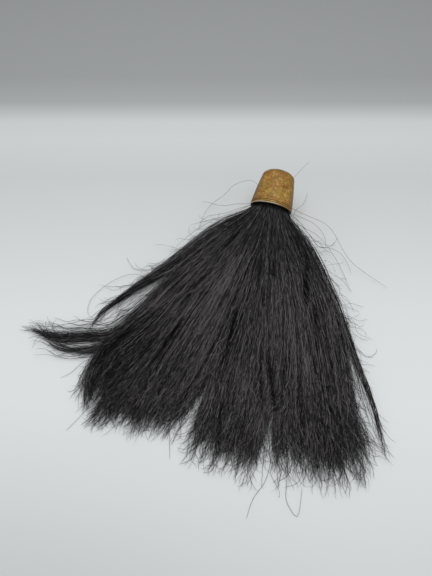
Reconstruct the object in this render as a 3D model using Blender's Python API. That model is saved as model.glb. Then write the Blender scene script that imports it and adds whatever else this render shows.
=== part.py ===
"""Fly whisk: a hollow turned cap that holds a bound tuft of horsehair, lying with its hair fanned out on a table.

Metres, +Z up. The hair points towards -Y and the cap's closed end rises towards +Y. The origin lies under the
middle of the whole object, on the surface that the hair lies on. Until the last step every place is measured
from the ground point straight under the middle of the cap's mouth.
"""

import math
from typing import NamedTuple

import bmesh
import bpy
import numpy as np
from mathutils import Matrix, Vector

# How the cap lies
MOUTH_CLEARANCE = 0.007  # from the table to the lowest point of the mouth
CAP_RISE = 26.4  # degrees that the axis climbs from the mouth to the closed end
CAP_TURN = 16.1  # degrees that the closed end is turned to the right

# Cap, in heights along its axis from the mouth
CAP_LENGTH = 0.0494
MOUTH_RADIUS = 0.0264
SHOULDER_RADIUS = 0.0209
DOME_HEIGHT = 0.0103
DOME_SQUARENESS = 0.7  # 1 is an ellipse, less is squarer at the shoulder
BELLY = 0.0005  # how far the side swells past a straight taper
LIP_ROUND = 0.0006
GROOVE_UP = 0.0022  # from the cap's lower edge to the middle of the groove
GROOVE_WIDTH = 0.0010
GROOVE_DEPTH = 0.0006
WALL_AT_MOUTH = 0.0034
WALL_AT_SHOULDER = 0.0022
CLOSED_END = 0.0085  # thickness at the top of the dome
SOCKET_CORNER = 0.003
AROUND = 48  # facets round a turned piece

# Mouth ring
RING_HEIGHT = 0.0018
RING_INSET = 0.0003  # its outside stands this far inside the cap's
RING_WALL = 0.0028
RING_ROUND = 0.0005

# Bound root of the hair and its whipping
SEAT_GAP = 0.0003  # between pieces that touch
ROOT_SINK = 0.0010  # the strands start this far inside the mouth
ROOT_TAPER = 0.0080  # length over which the hair is drawn in to the whipped neck
GLUE_DEPTH = 0.0113  # of the bed between the back of the root and the socket's end
SLICED_SHARE = 0.955  # of the root's radius that the slices reach, left and right
CORD_DIAMETER = 0.0022
CORD_TURNS = 4
CORD_MARGIN = 0.0010  # bare neck before the first turn and after the last
CORD_POINTS = 24  # in a turn

# Hair, in distances from the ground point under the mouth
HAIR_REACH = 0.300  # how far the tuft fans out, give or take what each lock says
FAN_START = 0.060  # where the locks first lie side by side
LAST_LEG = 0.085  # from the last place where the locks lie side by side to the reach
FAN_DISTANCES = tuple(np.linspace(FAN_START, HAIR_REACH - LAST_LEG, 3))
SPREAD_START = 0.018  # where the strands have just left the mouth
SPREAD_WIDEN = 1.12
TUFT_HEIGHTS = (0.030, 0.0210, 0.0140)  # height of the hair at each fan distance
TIP_HEIGHT = 0.0050
CURL_HEIGHT = 0.0090
STRAND_RADII = (0.0009, 0.00105, 0.00105)  # round each three-sided strand, at each fan distance
STRAND_START = 0.0009
CURL_RADIUS = 0.0010
STRAY_START = 0.006  # where a stray hair is clear of the mouth
STRAY_RADIUS = 0.0004
CROWNS = (0.0, 0.20, 0.25, 0.25)  # share of its height that a lock loses at its sides, also at the tips
PRESSED_SHARES = (0.03, 0.08, 0.10, 0.10)  # share of the strands that a lock's weight presses on the table
PRESSED_DEPTH = 0.0005  # cut from the underside of each strand that lies on the table
LOCK_GAP = 0.0012  # between neighbouring locks
WIDEST_HALF = 0.013  # half the width that a lock spreads to where its neighbours leave it room
SHORTEST_LEG = 0.70  # share of its lock's last leg that the shortest strand reaches
GOLDEN = (math.sqrt(5) - 1) / 2


class Lock(NamedTuple):
    """A lock of hair. Bearings are degrees to the right of straight ahead, seen from the cap's mouth."""

    name: str
    strands: int
    bearings: tuple  # at each of FAN_DISTANCES
    tip_bearing: float
    beyond: float  # how far its tip lies past HAIR_REACH
    tip_width: float
    curl: tuple = ()  # further (bearing, distance past the last fan distance) before the tip
    runaway: tuple = ()  # bearing and distance past HAIR_REACH of the tip of its topmost strand, if it strays

    @property
    def reach(self):
        """The distance of its tip from the ground point under the mouth."""
        return HAIR_REACH + self.beyond


LOCKS = (
    Lock("far_left_lock", 14, (-69.0, -61.5, -56.6), -53.8, -0.045, 0.008),
    Lock("left_curl_upper", 10, (-60.5, -55.0, -49.9), -60.8, 0.014, 0.008, ((-50.0, 0.040), (-54.6, 0.071))),
    Lock("left_curl_lower", 7, (-54.0, -50.0, -46.1), -57.6, 0.011, 0.005, ((-47.4, 0.051), (-52.6, 0.084))),
    Lock("left_lobe_outer", 26, (-47.0, -43.8, -41.4), -40.2, 0.011, 0.030),
    Lock("left_lobe_upper", 28, (-38.5, -36.4, -34.8), -34.1, 0.013, 0.032),
    Lock("left_lobe_lower", 27, (-30.0, -28.9, -28.2), -28.2, 0.004, 0.028),
    Lock("left_lobe_inner", 24, (-21.5, -21.2, -21.8), -23.6, -0.009, 0.018),
    Lock("centre_lobe_left", 26, (-13.5, -14.2, -15.4), -16.5, -0.003, 0.024),
    Lock("centre_lobe_middle", 27, (-5.5, -7.3, -9.1), -11.5, 0.003, 0.026),
    Lock("centre_lobe_right", 26, (3.0, -0.3, -3.0), -6.5, 0.001, 0.024, (), (-6.9, 0.044)),
    Lock("right_lobe_left", 26, (12.0, 7.8, 3.8), 1.3, 0.005, 0.024),
    Lock("right_lobe_middle", 26, (21.5, 16.2, 10.8), 6.4, 0.011, 0.028),
    Lock("right_lobe_outer", 22, (31.0, 24.3, 17.2), 12.2, 0.004, 0.026),
    Lock("right_wisp", 9, (40.5, 31.0, 23.2), 17.8, -0.003, 0.005),
)

# Stray hairs that leave the side of the mouth, each as its route and point, chosen by hand
LEFT_STRAYS = (
    ((-0.038, 0.006, 0.022), (-0.062, 0.004, 0.012), (-0.082, -0.006, 0.006), (-0.098, -0.022, 0.002)),
    ((-0.039, 0.001, 0.028), (-0.068, -0.006, 0.020), (-0.096, -0.020, 0.012), (-0.120, -0.040, 0.005)),
    ((-0.040, -0.006, 0.034), (-0.062, 0.008, 0.028), (-0.080, 0.030, 0.018), (-0.090, 0.052, 0.008)),
)
RIGHT_STRAYS = (
    ((0.036, -0.016, 0.020), (0.060, -0.028, 0.012), (0.078, -0.056, 0.006), (0.092, -0.106, 0.002)),
    ((0.039, -0.004, 0.028), (0.070, -0.016, 0.020), (0.096, -0.066, 0.010), (0.137, -0.101, 0.003)),
    ((0.038, -0.020, 0.034), (0.068, -0.012, 0.030), (0.092, -0.026, 0.020), (0.112, -0.060, 0.010)),
)

# Sizes that follow from those above
RISE = math.radians(CAP_RISE)
TURN = math.radians(CAP_TURN)
MOUTH_HEIGHT = MOUTH_CLEARANCE + MOUTH_RADIUS * math.cos(RISE)
CAP_EDGE = RING_HEIGHT + SEAT_GAP
SHOULDER = CAP_LENGTH - DOME_HEIGHT
SOCKET_MOUTH_RADIUS = MOUTH_RADIUS - WALL_AT_MOUTH
SOCKET_END_RADIUS = SHOULDER_RADIUS - WALL_AT_SHOULDER
SOCKET_END = CAP_LENGTH - CLOSED_END
RING_BORE = MOUTH_RADIUS - RING_INSET - RING_WALL
ROOT_RADIUS = min(RING_BORE, SOCKET_MOUTH_RADIUS) - 2 * SEAT_GAP
ROOT_DEPTH = SOCKET_END - 2 * SEAT_GAP - GLUE_DEPTH  # from the mouth to the back of the root
CORD_START = ROOT_SINK + ROOT_TAPER + CORD_MARGIN + CORD_DIAMETER / 2
CORD_END = ROOT_DEPTH - CORD_MARGIN - CORD_DIAMETER / 2
CORD_PITCH = (CORD_END - CORD_START) / CORD_TURNS


def clear_scene():
    """Removes every object, so that the part starts from nothing."""
    for obj in list(bpy.data.objects):
        bpy.data.objects.remove(obj, do_unlink=True)


def finish(name, colour, roughness):
    """A plain Principled material."""
    material = bpy.data.materials.new(name)
    material.use_nodes = True
    shader = material.node_tree.nodes["Principled BSDF"]
    shader.inputs["Base Color"].default_value = (*colour, 1.0)
    shader.inputs["Roughness"].default_value = roughness
    shader.inputs["Metallic"].default_value = 0.0
    return material


def empty(name, parent=None):
    """A guide that pieces hang from."""
    guide = bpy.data.objects.new(name, None)
    bpy.context.scene.collection.objects.link(guide)
    guide.parent = parent
    return guide


def face_out(bm):
    """Turns the faces of a closed bmesh so that they point out."""
    bmesh.ops.recalc_face_normals(bm, faces=bm.faces)
    if bm.calc_volume(signed=True) < 0:
        bmesh.ops.reverse_faces(bm, faces=bm.faces)


def piece(name, bm, material, parent):
    """Makes a closed bmesh an object with its faces pointing out."""
    face_out(bm)
    mesh = bpy.data.meshes.new(name)
    bm.to_mesh(mesh)
    bm.free()
    mesh.materials.append(material)
    obj = bpy.data.objects.new(name, mesh)
    bpy.context.scene.collection.objects.link(obj)
    obj.parent = parent
    return obj


def turned(name, profile, material, parent):
    """Turns a profile of (radius, height) points, closed on itself or on the axis, about the cap's axis."""
    bm = bmesh.new()
    verts = [bm.verts.new((radius, 0.0, height)) for radius, height in profile]
    edges = [bm.edges.new(pair) for pair in zip(verts, verts[1:])]
    if profile[0][0] > 0 or profile[-1][0] > 0:
        edges.append(bm.edges.new((verts[-1], verts[0])))
    bmesh.ops.spin(
        bm,
        geom=verts + edges,
        axis=(0, 0, 1),
        cent=(0, 0, 0),
        angle=2 * math.pi,
        steps=AROUND,
        use_merge=True,
    )
    bmesh.ops.remove_doubles(bm, verts=bm.verts, dist=1e-6)
    obj = piece(name, bm, material, parent)
    obj.data.shade_smooth()
    obj.data.set_sharp_from_angle(angle=math.radians(35))
    return obj


def arc(centre, radius, start, end, points):
    """Points of (radius, height) along a round corner, from one angle to another in degrees."""
    return [
        (centre[0] + radius * math.cos(angle), centre[1] + radius * math.sin(angle))
        for angle in np.radians(np.linspace(start, end, points))
    ]


def socket_radius(height):
    """The socket's radius, which narrows evenly from the mouth to the shoulder."""
    share = (height - CAP_EDGE) / (SHOULDER - CAP_EDGE)
    return SOCKET_MOUTH_RADIUS + (SOCKET_END_RADIUS - SOCKET_MOUTH_RADIUS) * share


def side_radius(height):
    """The cap's outside radius: a straight taper with a slight belly."""
    share = (height - CAP_EDGE) / (SHOULDER - CAP_EDGE)
    straight = MOUTH_RADIUS + (SHOULDER_RADIUS - MOUTH_RADIUS) * share
    return straight + BELLY * math.sin(math.pi * share)


def build_cap(material, parent):
    """The hollow turned cap: socket, rim, groove, tapered side and squarish dome."""
    floor_corner = (socket_radius(SOCKET_END - SOCKET_CORNER) - SOCKET_CORNER, SOCKET_END - SOCKET_CORNER)
    groove = CAP_EDGE + GROOVE_UP
    profile = [(0.0, SOCKET_END)]
    profile += arc(floor_corner, SOCKET_CORNER, 90, 0, 4)
    profile += [(SOCKET_MOUTH_RADIUS, CAP_EDGE)]
    profile += arc((MOUTH_RADIUS - LIP_ROUND, CAP_EDGE + LIP_ROUND), LIP_ROUND, -90, 0, 3)
    profile += [
        (side_radius(groove - GROOVE_WIDTH / 2), groove - GROOVE_WIDTH / 2),
        (side_radius(groove) - GROOVE_DEPTH, groove),
        (side_radius(groove + GROOVE_WIDTH / 2), groove + GROOVE_WIDTH / 2),
    ]
    profile += [(side_radius(height), height) for height in np.linspace(groove + GROOVE_WIDTH / 2, SHOULDER, 6)[1:]]
    for angle in np.radians(np.linspace(0, 90, 8))[1:-1]:
        across = SHOULDER_RADIUS * math.cos(angle) ** DOME_SQUARENESS
        profile.append((across, SHOULDER + DOME_HEIGHT * math.sin(angle)))
    profile.append((0.0, CAP_LENGTH))
    return turned("cap", profile, material, parent)


def build_mouth_ring(material, parent):
    """The thin pale ring on the cap's lower edge, with its outer edges eased."""
    outside = MOUTH_RADIUS - RING_INSET
    profile = [(outside - RING_WALL, RING_HEIGHT), (outside - RING_WALL, 0.0)]
    profile += arc((outside - RING_ROUND, RING_ROUND), RING_ROUND, -90, 0, 3)
    profile += arc((outside - RING_ROUND, RING_HEIGHT - RING_ROUND), RING_ROUND, 0, 90, 3)
    return turned("mouth_ring", profile, material, parent)


def build_glue_bed(material, parent):
    """The hardened glue between the back of the root and the socket's end."""
    start = ROOT_DEPTH + SEAT_GAP
    top = SOCKET_END - SEAT_GAP
    corner = (socket_radius(SOCKET_END - SOCKET_CORNER) - SOCKET_CORNER - SEAT_GAP, top - SOCKET_CORNER)
    profile = [(0.0, start), (socket_radius(start) - SEAT_GAP, start)]
    profile += arc(corner, SOCKET_CORNER, 0, 90, 4)
    profile.append((0.0, top))
    return turned("glue_bed", profile, material, parent)


def neck_radius():
    """What the whipping leaves for the hair: the socket where the last turn lies, less the cord and its gaps."""
    return socket_radius(CORD_END) - CORD_DIAMETER - 3 * SEAT_GAP


def build_binding_cord(material, parent):
    """The whipping: one unbroken cord wound round the neck, its ends run straight for one diameter."""
    radius = neck_radius() + SEAT_GAP + CORD_DIAMETER / 2
    points = []
    for step in range(CORD_TURNS * CORD_POINTS + 1):
        angle = 2 * math.pi * step / CORD_POINTS
        height = CORD_START + CORD_PITCH * step / CORD_POINTS
        points.append(Vector((radius * math.cos(angle), radius * math.sin(angle), height)))
    points.insert(0, points[0] + (points[0] - points[1]).normalized() * CORD_DIAMETER)
    points.append(points[-1] + (points[-1] - points[-2]).normalized() * CORD_DIAMETER)
    curve = bpy.data.curves.new("binding_cord", "CURVE")
    curve.dimensions = "3D"
    spline = curve.splines.new("POLY")
    spline.points.add(len(points) - 1)
    for place, point in zip(spline.points, points):
        place.co = (*point, 1.0)
    curve.bevel_depth = CORD_DIAMETER / 2
    curve.bevel_resolution = 1
    curve.use_fill_caps = True
    curve.materials.append(material)
    obj = bpy.data.objects.new("binding_cord", curve)
    bpy.context.scene.collection.objects.link(obj)
    obj.parent = parent
    apart = min(
        (points[i] - points[j]).length
        for i in range(len(points))
        for j in range(i + CORD_POINTS // 2, len(points))
    )
    print(f"binding cord: least gap to itself {1000 * (apart - CORD_DIAMETER):.2f} mm")
    return obj


def slice_edges(counts):
    """Left and right edge of each lock's slice of the round root, its area in proportion to its strands."""
    outermost = SLICED_SHARE * ROOT_RADIUS
    across = np.linspace(-outermost, outermost, 2001)
    area = across * np.sqrt(ROOT_RADIUS**2 - across**2) + ROOT_RADIUS**2 * np.arcsin(across / ROOT_RADIUS)
    shares = np.concatenate([[0], np.cumsum(counts)]) / sum(counts)
    cuts = np.interp(area[0] + shares * (area[-1] - area[0]), area, across)
    half_gap = SEAT_GAP * ROOT_RADIUS / neck_radius() / 2
    return list(zip(cuts[:-1] + half_gap, cuts[1:] - half_gap))


def chord(across):
    """Half the height of the round root at a place across it."""
    return math.sqrt(ROOT_RADIUS**2 - across**2)


class Root:
    """A lock's slice of the bound root. Its front is a strip of triangles, and a strand grows from each."""

    def __init__(self, edges, strands, to_table):
        self.left, self.right = edges
        self.to_table = to_table
        self.bm = bmesh.new()
        left_count = (strands + 3) // 2
        right_count = (strands + 2) // 2
        front_left = self.row(self.left, left_count)
        front_right = self.row(self.right, right_count)
        self.cells = []
        for order in range(strands):
            low = order // 2
            if order % 2 == 0:
                corners = (front_left[low], front_right[low], front_left[low + 1])
            else:
                corners = (front_left[low + 1], front_right[low], front_right[low + 1])
            self.cells.append((self.bm.faces.new(corners), corners))
        self.close(front_left, front_right)

    def vert(self, across, up, height):
        """A vertex from its place across and up the root and along the cap's axis."""
        return self.bm.verts.new(self.to_table @ Vector((across, -up, height)))

    def row(self, across, count):
        """The front's points up one side of the slice."""
        half = chord(across)
        return [self.vert(across, up, ROOT_SINK) for up in np.linspace(-half, half, count)]

    def close(self, front_left, front_right):
        """The slice behind its front: drawn in to the whipped neck, then straight to the back."""
        scale = neck_radius() / ROOT_RADIUS
        rings = []
        for height in (ROOT_SINK + ROOT_TAPER, ROOT_DEPTH):
            corners = []
            for across, side in ((self.left, -1), (self.left, 1), (self.right, 1), (self.right, -1)):
                corners.append(self.vert(across * scale, side * chord(across) * scale, height))
            rings.append(corners)
        neck, back = rings
        faces = self.bm.faces
        self.side(front_left, neck[0], neck[1])
        self.side(front_right, neck[3], neck[2])
        faces.new((front_left[-1], front_right[-1], neck[2], neck[1]))
        faces.new((front_right[0], front_left[0], neck[0], neck[3]))
        for corner in range(4):
            after = (corner + 1) % 4
            faces.new((neck[corner], neck[after], back[after], back[corner]))
        faces.new(back)

    def side(self, row, low, high):
        """One flat side of the taper: triangles from the front's row to the neck's low and high corners."""
        middle = len(row) // 2
        for step, pair in enumerate(zip(row, row[1:])):
            self.bm.faces.new((*pair, low if step < middle else high))
        self.bm.faces.new((row[middle], high, low))

    def grow(self, order, rings, tip):
        """Extrudes one triangle of the front through its rings and draws it to a point."""
        face, corners = self.cells[order]
        places = [vert.co.copy() for vert in corners]
        for ring in rings:
            face = bmesh.ops.extrude_discrete_faces(self.bm, faces=[face])["faces"][0]
            grown = [min(face.verts, key=lambda vert: (vert.co - place).length) for place in places]
            for vert, place in zip(grown, ring):
                vert.co = place
            places = ring
        point = bmesh.ops.poke(self.bm, faces=[face])["verts"][0]
        point.co = tip

    def split_walls(self):
        """Splits each four-sided wall along the diagonal that bulges, so that a turning strand stays convex."""
        face_out(self.bm)
        for face in [face for face in self.bm.faces if len(face.verts) == 4]:
            a, b, c, d = face.verts
            bulge = (a.co + c.co - b.co - d.co).dot(face.normal)
            bmesh.utils.face_split(face, *((a, c) if bulge > 0 else (b, d)))


def strand_ring(middle, side, up, radius):
    """The three corners of a strand: left, right and top, none under the table."""
    corners = (
        middle - side * radius * math.cos(math.pi / 6) - up * radius / 2,
        middle + side * radius * math.cos(math.pi / 6) - up * radius / 2,
        middle + up * radius,
    )
    return [Vector((corner.x, corner.y, max(corner.z, 0.0))) for corner in corners]


def from_polar(bearing, distance, height):
    """A place on the table from its bearing in degrees and its distance from the point under the mouth."""
    angle = math.radians(bearing)
    return Vector((distance * math.sin(angle), -distance * math.cos(angle), height))


def side_of(bearing):
    """The level direction to the right of a bearing."""
    angle = math.radians(bearing)
    return Vector((math.cos(angle), math.sin(angle), 0.0))


def room(bearings, index, distance, widest, strand):
    """Half widths that a lock may fill to its left and right, from all locks' bearings at a distance."""
    halves = []
    for neighbour in (index - 1, index + 1):
        half = widest
        if 0 <= neighbour < len(bearings):
            apart = abs(bearings[neighbour] - bearings[index])
            half = min(half, (distance * math.radians(apart) - LOCK_GAP) / 2 - strand)
        halves.append(max(half, 0.0))
    return halves


def first_ring(root, order, ahead, radius):
    """A strand's corners where it has just left the mouth: its triangle of the root, drawn in and moved ahead."""
    corners = [root.to_table.inverted() @ vert.co for vert in root.cells[order][1]]
    middle = sum(corners, Vector()) / 3
    widest = max((corner - middle).length for corner in corners)
    place = Vector((SPREAD_WIDEN * middle.x, SPREAD_WIDEN * middle.y, -ahead))
    return [root.to_table @ (place + (corner - middle) * radius / widest) for corner in corners]


def lift(share_up, sideways, height, pressed, crown):
    """How far a strand is lifted off the table: none where it is pressed down, less at a lock's sides."""
    return max(share_up - pressed, 0.0) / (1 - pressed) * height * (1 - crown * sideways**2)


def line_of(lock):
    """The lock's middle line on the table, from the last fan distance to its tip."""
    line = [(lock.bearings[-1], FAN_DISTANCES[-1])]
    line += [(bearing, FAN_DISTANCES[-1] + past) for bearing, past in lock.curl]
    line.append((lock.tip_bearing, lock.reach))
    return [from_polar(bearing, distance, 0.0) for bearing, distance in line]


def curl_rings(lock, share_up, sideways):
    """A strand's corners where its lock curls away: spread square to the lock's own line."""
    line = line_of(lock)
    rings = []
    for before, place, after in zip(line, line[1:], line[2:]):
        side = Vector((0, 0, 1)).cross(after - before).normalized()
        height = lift(share_up, sideways, CURL_HEIGHT, PRESSED_SHARES[-1], CROWNS[-1])
        middle = place + side * sideways * lock.tip_width / 2
        middle.z = height + CURL_RADIUS / 2 - PRESSED_DEPTH
        rings.append(strand_ring(middle, side, Vector((0, 0, 1)), CURL_RADIUS))
    return rings


def strand_tip(lock, share_up, sideways, share_out, half_before, half_tip):
    """Where a strand ends, part of the way along its lock's last leg."""
    before, end = line_of(lock)[-2:]
    height_before = CURL_HEIGHT if lock.curl else TUFT_HEIGHTS[-1]
    half = half_before + (half_tip - half_before) * share_out
    height = height_before + (TIP_HEIGHT - height_before) * share_out
    side = Vector((0, 0, 1)).cross(end - before).normalized()
    tip = before.lerp(end, share_out) + side * sideways * half
    tip.z = lift(share_up, sideways, height, PRESSED_SHARES[-1], CROWNS[-1])
    return tip


def build_lock(index, edges, material, parent, to_table):
    """One lock: a slice of the root and its strands, in two columns with a golden-ratio spacing across each."""
    lock = LOCKS[index]
    rooms = [
        room([other.bearings[station] for other in LOCKS], index, distance, WIDEST_HALF, STRAND_RADII[station])
        for station, distance in enumerate(FAN_DISTANCES)
    ]
    tip_room = room([other.tip_bearing for other in LOCKS], index, lock.reach, lock.tip_width / 2, 0.0)
    root = Root(edges, lock.strands, to_table)
    for order in range(lock.strands):
        row, hand = divmod(order, 2)
        share_up = (row + (1 + hand) / 3) / (lock.strands / 2)
        sideways = (row * GOLDEN) % 1.0 - 1 + hand
        rings = [first_ring(root, order, SPREAD_START, STRAND_START)]
        for station, distance in enumerate(FAN_DISTANCES):
            radius = STRAND_RADII[station]
            bearing = lock.bearings[station] + math.degrees(sideways * rooms[station][hand] / distance)
            height = lift(share_up, sideways, TUFT_HEIGHTS[station], PRESSED_SHARES[station], CROWNS[station])
            middle = from_polar(bearing, distance, height + radius / 2 - PRESSED_DEPTH)
            rings.append(strand_ring(middle, side_of(bearing), Vector((0, 0, 1)), radius))
        rings += curl_rings(lock, share_up, sideways)
        share_out = SHORTEST_LEG + (1 - SHORTEST_LEG) * ((order * GOLDEN * GOLDEN) % 1.0)
        half_before = lock.tip_width / 2 if lock.curl else rooms[-1][hand]
        tip = strand_tip(lock, share_up, sideways, share_out, half_before, tip_room[hand])
        if lock.runaway and order == lock.strands - 1:
            bearing, past = lock.runaway
            tip = from_polar(bearing, HAIR_REACH + past, 0.0)
        root.grow(order, rings, tip)
    root.split_walls()
    return piece(lock.name, root.bm, material, parent)


def build_strays(name, routes, edges, material, parent, to_table):
    """Stray hairs on a thin slice of the root at one side of the mouth."""
    root = Root(edges, len(routes), to_table)
    for order, route in enumerate(routes):
        rings = [first_ring(root, order, STRAY_START, STRAY_RADIUS)]
        *stops, tip = [Vector(place) for place in route]
        for stop, before, after in zip(stops, [rings[0][0], *stops], [*stops[1:], tip]):
            ahead = (after - before).normalized()
            side = Vector((0, 0, 1)).cross(ahead).normalized()
            rings.append(strand_ring(stop, side, ahead.cross(side), STRAY_RADIUS))
        root.grow(order, rings, tip)
    root.split_walls()
    return piece(name, root.bm, material, parent)


def build_hair(material, parent, to_table):
    """All locks and strays, side by side across the bound root."""
    counts = [len(LEFT_STRAYS), *(lock.strands for lock in LOCKS), len(RIGHT_STRAYS)]
    edges = slice_edges(counts)
    build_strays("left_stray_hairs", LEFT_STRAYS, edges[0], material, parent, to_table)
    build_strays("right_stray_hairs", RIGHT_STRAYS, edges[-1], material, parent, to_table)
    for index in range(len(LOCKS)):
        build_lock(index, edges[index + 1], material, parent, to_table)


def centre_on_origin(whole):
    """Moves the whole object so that the origin lies under the middle of its box."""
    bpy.context.view_layer.update()
    graph = bpy.context.evaluated_depsgraph_get()
    corners = []
    for obj in bpy.data.objects:
        if obj.type != "EMPTY":
            evaluated = obj.evaluated_get(graph)
            mesh = evaluated.to_mesh()
            corners += [evaluated.matrix_world @ vert.co for vert in mesh.vertices]
            evaluated.to_mesh_clear()
    places = np.array(corners)
    middle = (places.min(axis=0) + places.max(axis=0)) / 2
    whole.location = (-middle[0], -middle[1], 0.0)
    bpy.context.view_layer.update()


def main():
    clear_scene()
    whole = empty("whisk")
    cap_axis = empty("cap_axis", whole)
    cap_axis.location = (0.0, 0.0, MOUTH_HEIGHT)
    cap_axis.rotation_euler = (RISE - math.pi / 2, 0.0, -TURN)
    bpy.context.view_layer.update()
    to_table = Matrix(cap_axis.matrix_world)
    build_cap(finish("turned_wood", (0.33, 0.18, 0.05), 0.42), cap_axis)
    build_mouth_ring(finish("pale_wood", (0.42, 0.34, 0.24), 0.5), cap_axis)
    build_glue_bed(finish("hardened_glue", (0.10, 0.05, 0.02), 0.35), cap_axis)
    build_binding_cord(finish("hemp_cord", (0.30, 0.22, 0.12), 0.8), cap_axis)
    build_hair(finish("horsehair", (0.018, 0.016, 0.016), 0.45), whole, to_table)
    centre_on_origin(whole)


main()
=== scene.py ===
"""Looks of the fly whisk: a turned burl cap with its pale mouth ring, and a fanned tuft of black horsehair.

Metres, +Z up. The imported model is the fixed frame. The whisk lies on its hair, which points towards -Y, and
the cap's closed end rises towards +Y. Bearings are degrees to the right of straight ahead, seen from the
cap's mouth, and distances are measured on the table from the point straight under the middle of the mouth.
"""

import logging
import math
from collections.abc import Sequence
from dataclasses import dataclass, field
from enum import Enum

import bpy
import numpy as np
from mathutils import Matrix, Vector


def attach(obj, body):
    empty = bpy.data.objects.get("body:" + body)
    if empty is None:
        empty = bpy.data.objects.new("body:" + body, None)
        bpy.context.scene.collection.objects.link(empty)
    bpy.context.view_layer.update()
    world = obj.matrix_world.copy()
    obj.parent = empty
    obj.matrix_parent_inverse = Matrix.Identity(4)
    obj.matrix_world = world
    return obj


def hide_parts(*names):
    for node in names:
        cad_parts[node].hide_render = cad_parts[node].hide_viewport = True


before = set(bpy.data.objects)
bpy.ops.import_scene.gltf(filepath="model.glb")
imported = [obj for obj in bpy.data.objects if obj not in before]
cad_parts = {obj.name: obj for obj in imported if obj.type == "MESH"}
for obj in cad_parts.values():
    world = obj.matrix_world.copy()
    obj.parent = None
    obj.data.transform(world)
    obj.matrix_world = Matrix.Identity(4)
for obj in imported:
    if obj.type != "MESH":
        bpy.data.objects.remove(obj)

LOG = logging.getLogger("whisk")
BODY = "root"
MAP_NAME = "OFBake"
TURN = 2 * math.pi
GOLDEN_STEP = 0.6180339887
PATTERN_WIDTH = 50.0
ABOVE_TABLE = 0.00012

Span = tuple[float, float]
Place = tuple[float, float, float]
ByStation = tuple[float, float, float]
Colour = tuple[float, float, float]
Rib = tuple[Span, Span]
Route = tuple[Place, ...]
Socket = bpy.types.NodeSocket


class Ending(Enum):
    """How a lock of hair comes to an end."""

    CUT = "cut"
    DENSE = "dense"
    POINTED = "pointed"
    CURLED = "curled"
    VEIL = "veil"


@dataclass(frozen=True)
class CapSeat:
    """Where the cap stands in the frame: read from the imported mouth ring."""

    mouth: Vector
    axis: Vector

    @classmethod
    def from_frame(cls) -> "CapSeat":
        """Finds the mouth's middle and the cap's axis from the ring's mesh.

        Returns:
            The seat, with its axis pointing from the mouth to the closed end.
        """
        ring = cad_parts["mouth_ring"].data
        places = np.empty(len(ring.vertices) * 3)
        ring.vertices.foreach_get("co", places)
        places = places.reshape(-1, 3)
        middle = (places.min(axis=0) + places.max(axis=0)) / 2
        _, _, turns = np.linalg.svd(places - places.mean(axis=0), full_matrices=False)
        axis = turns[2] if turns[2][2] > 0 else -turns[2]
        heights = (places - middle) @ axis
        mouth = middle + axis * heights.min()
        return cls(Vector(mouth), Vector(axis))

    @property
    def across(self) -> Vector:
        """The level direction to the right of the cap's axis."""
        return self.axis.cross(Vector((0.0, 0.0, 1.0))).normalized()

    @property
    def upward(self) -> Vector:
        """The steepest direction across the mouth."""
        return self.across.cross(self.axis).normalized()

    @property
    def ground(self) -> Vector:
        """The point on the table straight under the middle of the mouth."""
        return Vector((self.mouth.x, self.mouth.y, 0.0))

    @property
    def matrix(self) -> Matrix:
        """Turns a piece that stands on its mouth at the origin into its place."""
        down = -self.upward
        columns = Matrix((self.across, down, self.axis)).transposed().to_4x4()
        return Matrix.Translation(self.mouth) @ columns


@dataclass(frozen=True)
class Fade:
    """A smooth change of an amount, from before to after, while a reading goes from start to end."""

    start: float
    end: float
    before: float
    after: float


@dataclass(frozen=True)
class Grain:
    """A noise pattern: its features in a metre, its finer layers and how far it is warped."""

    scale: float
    detail: float
    warp: float = 0.0


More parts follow.
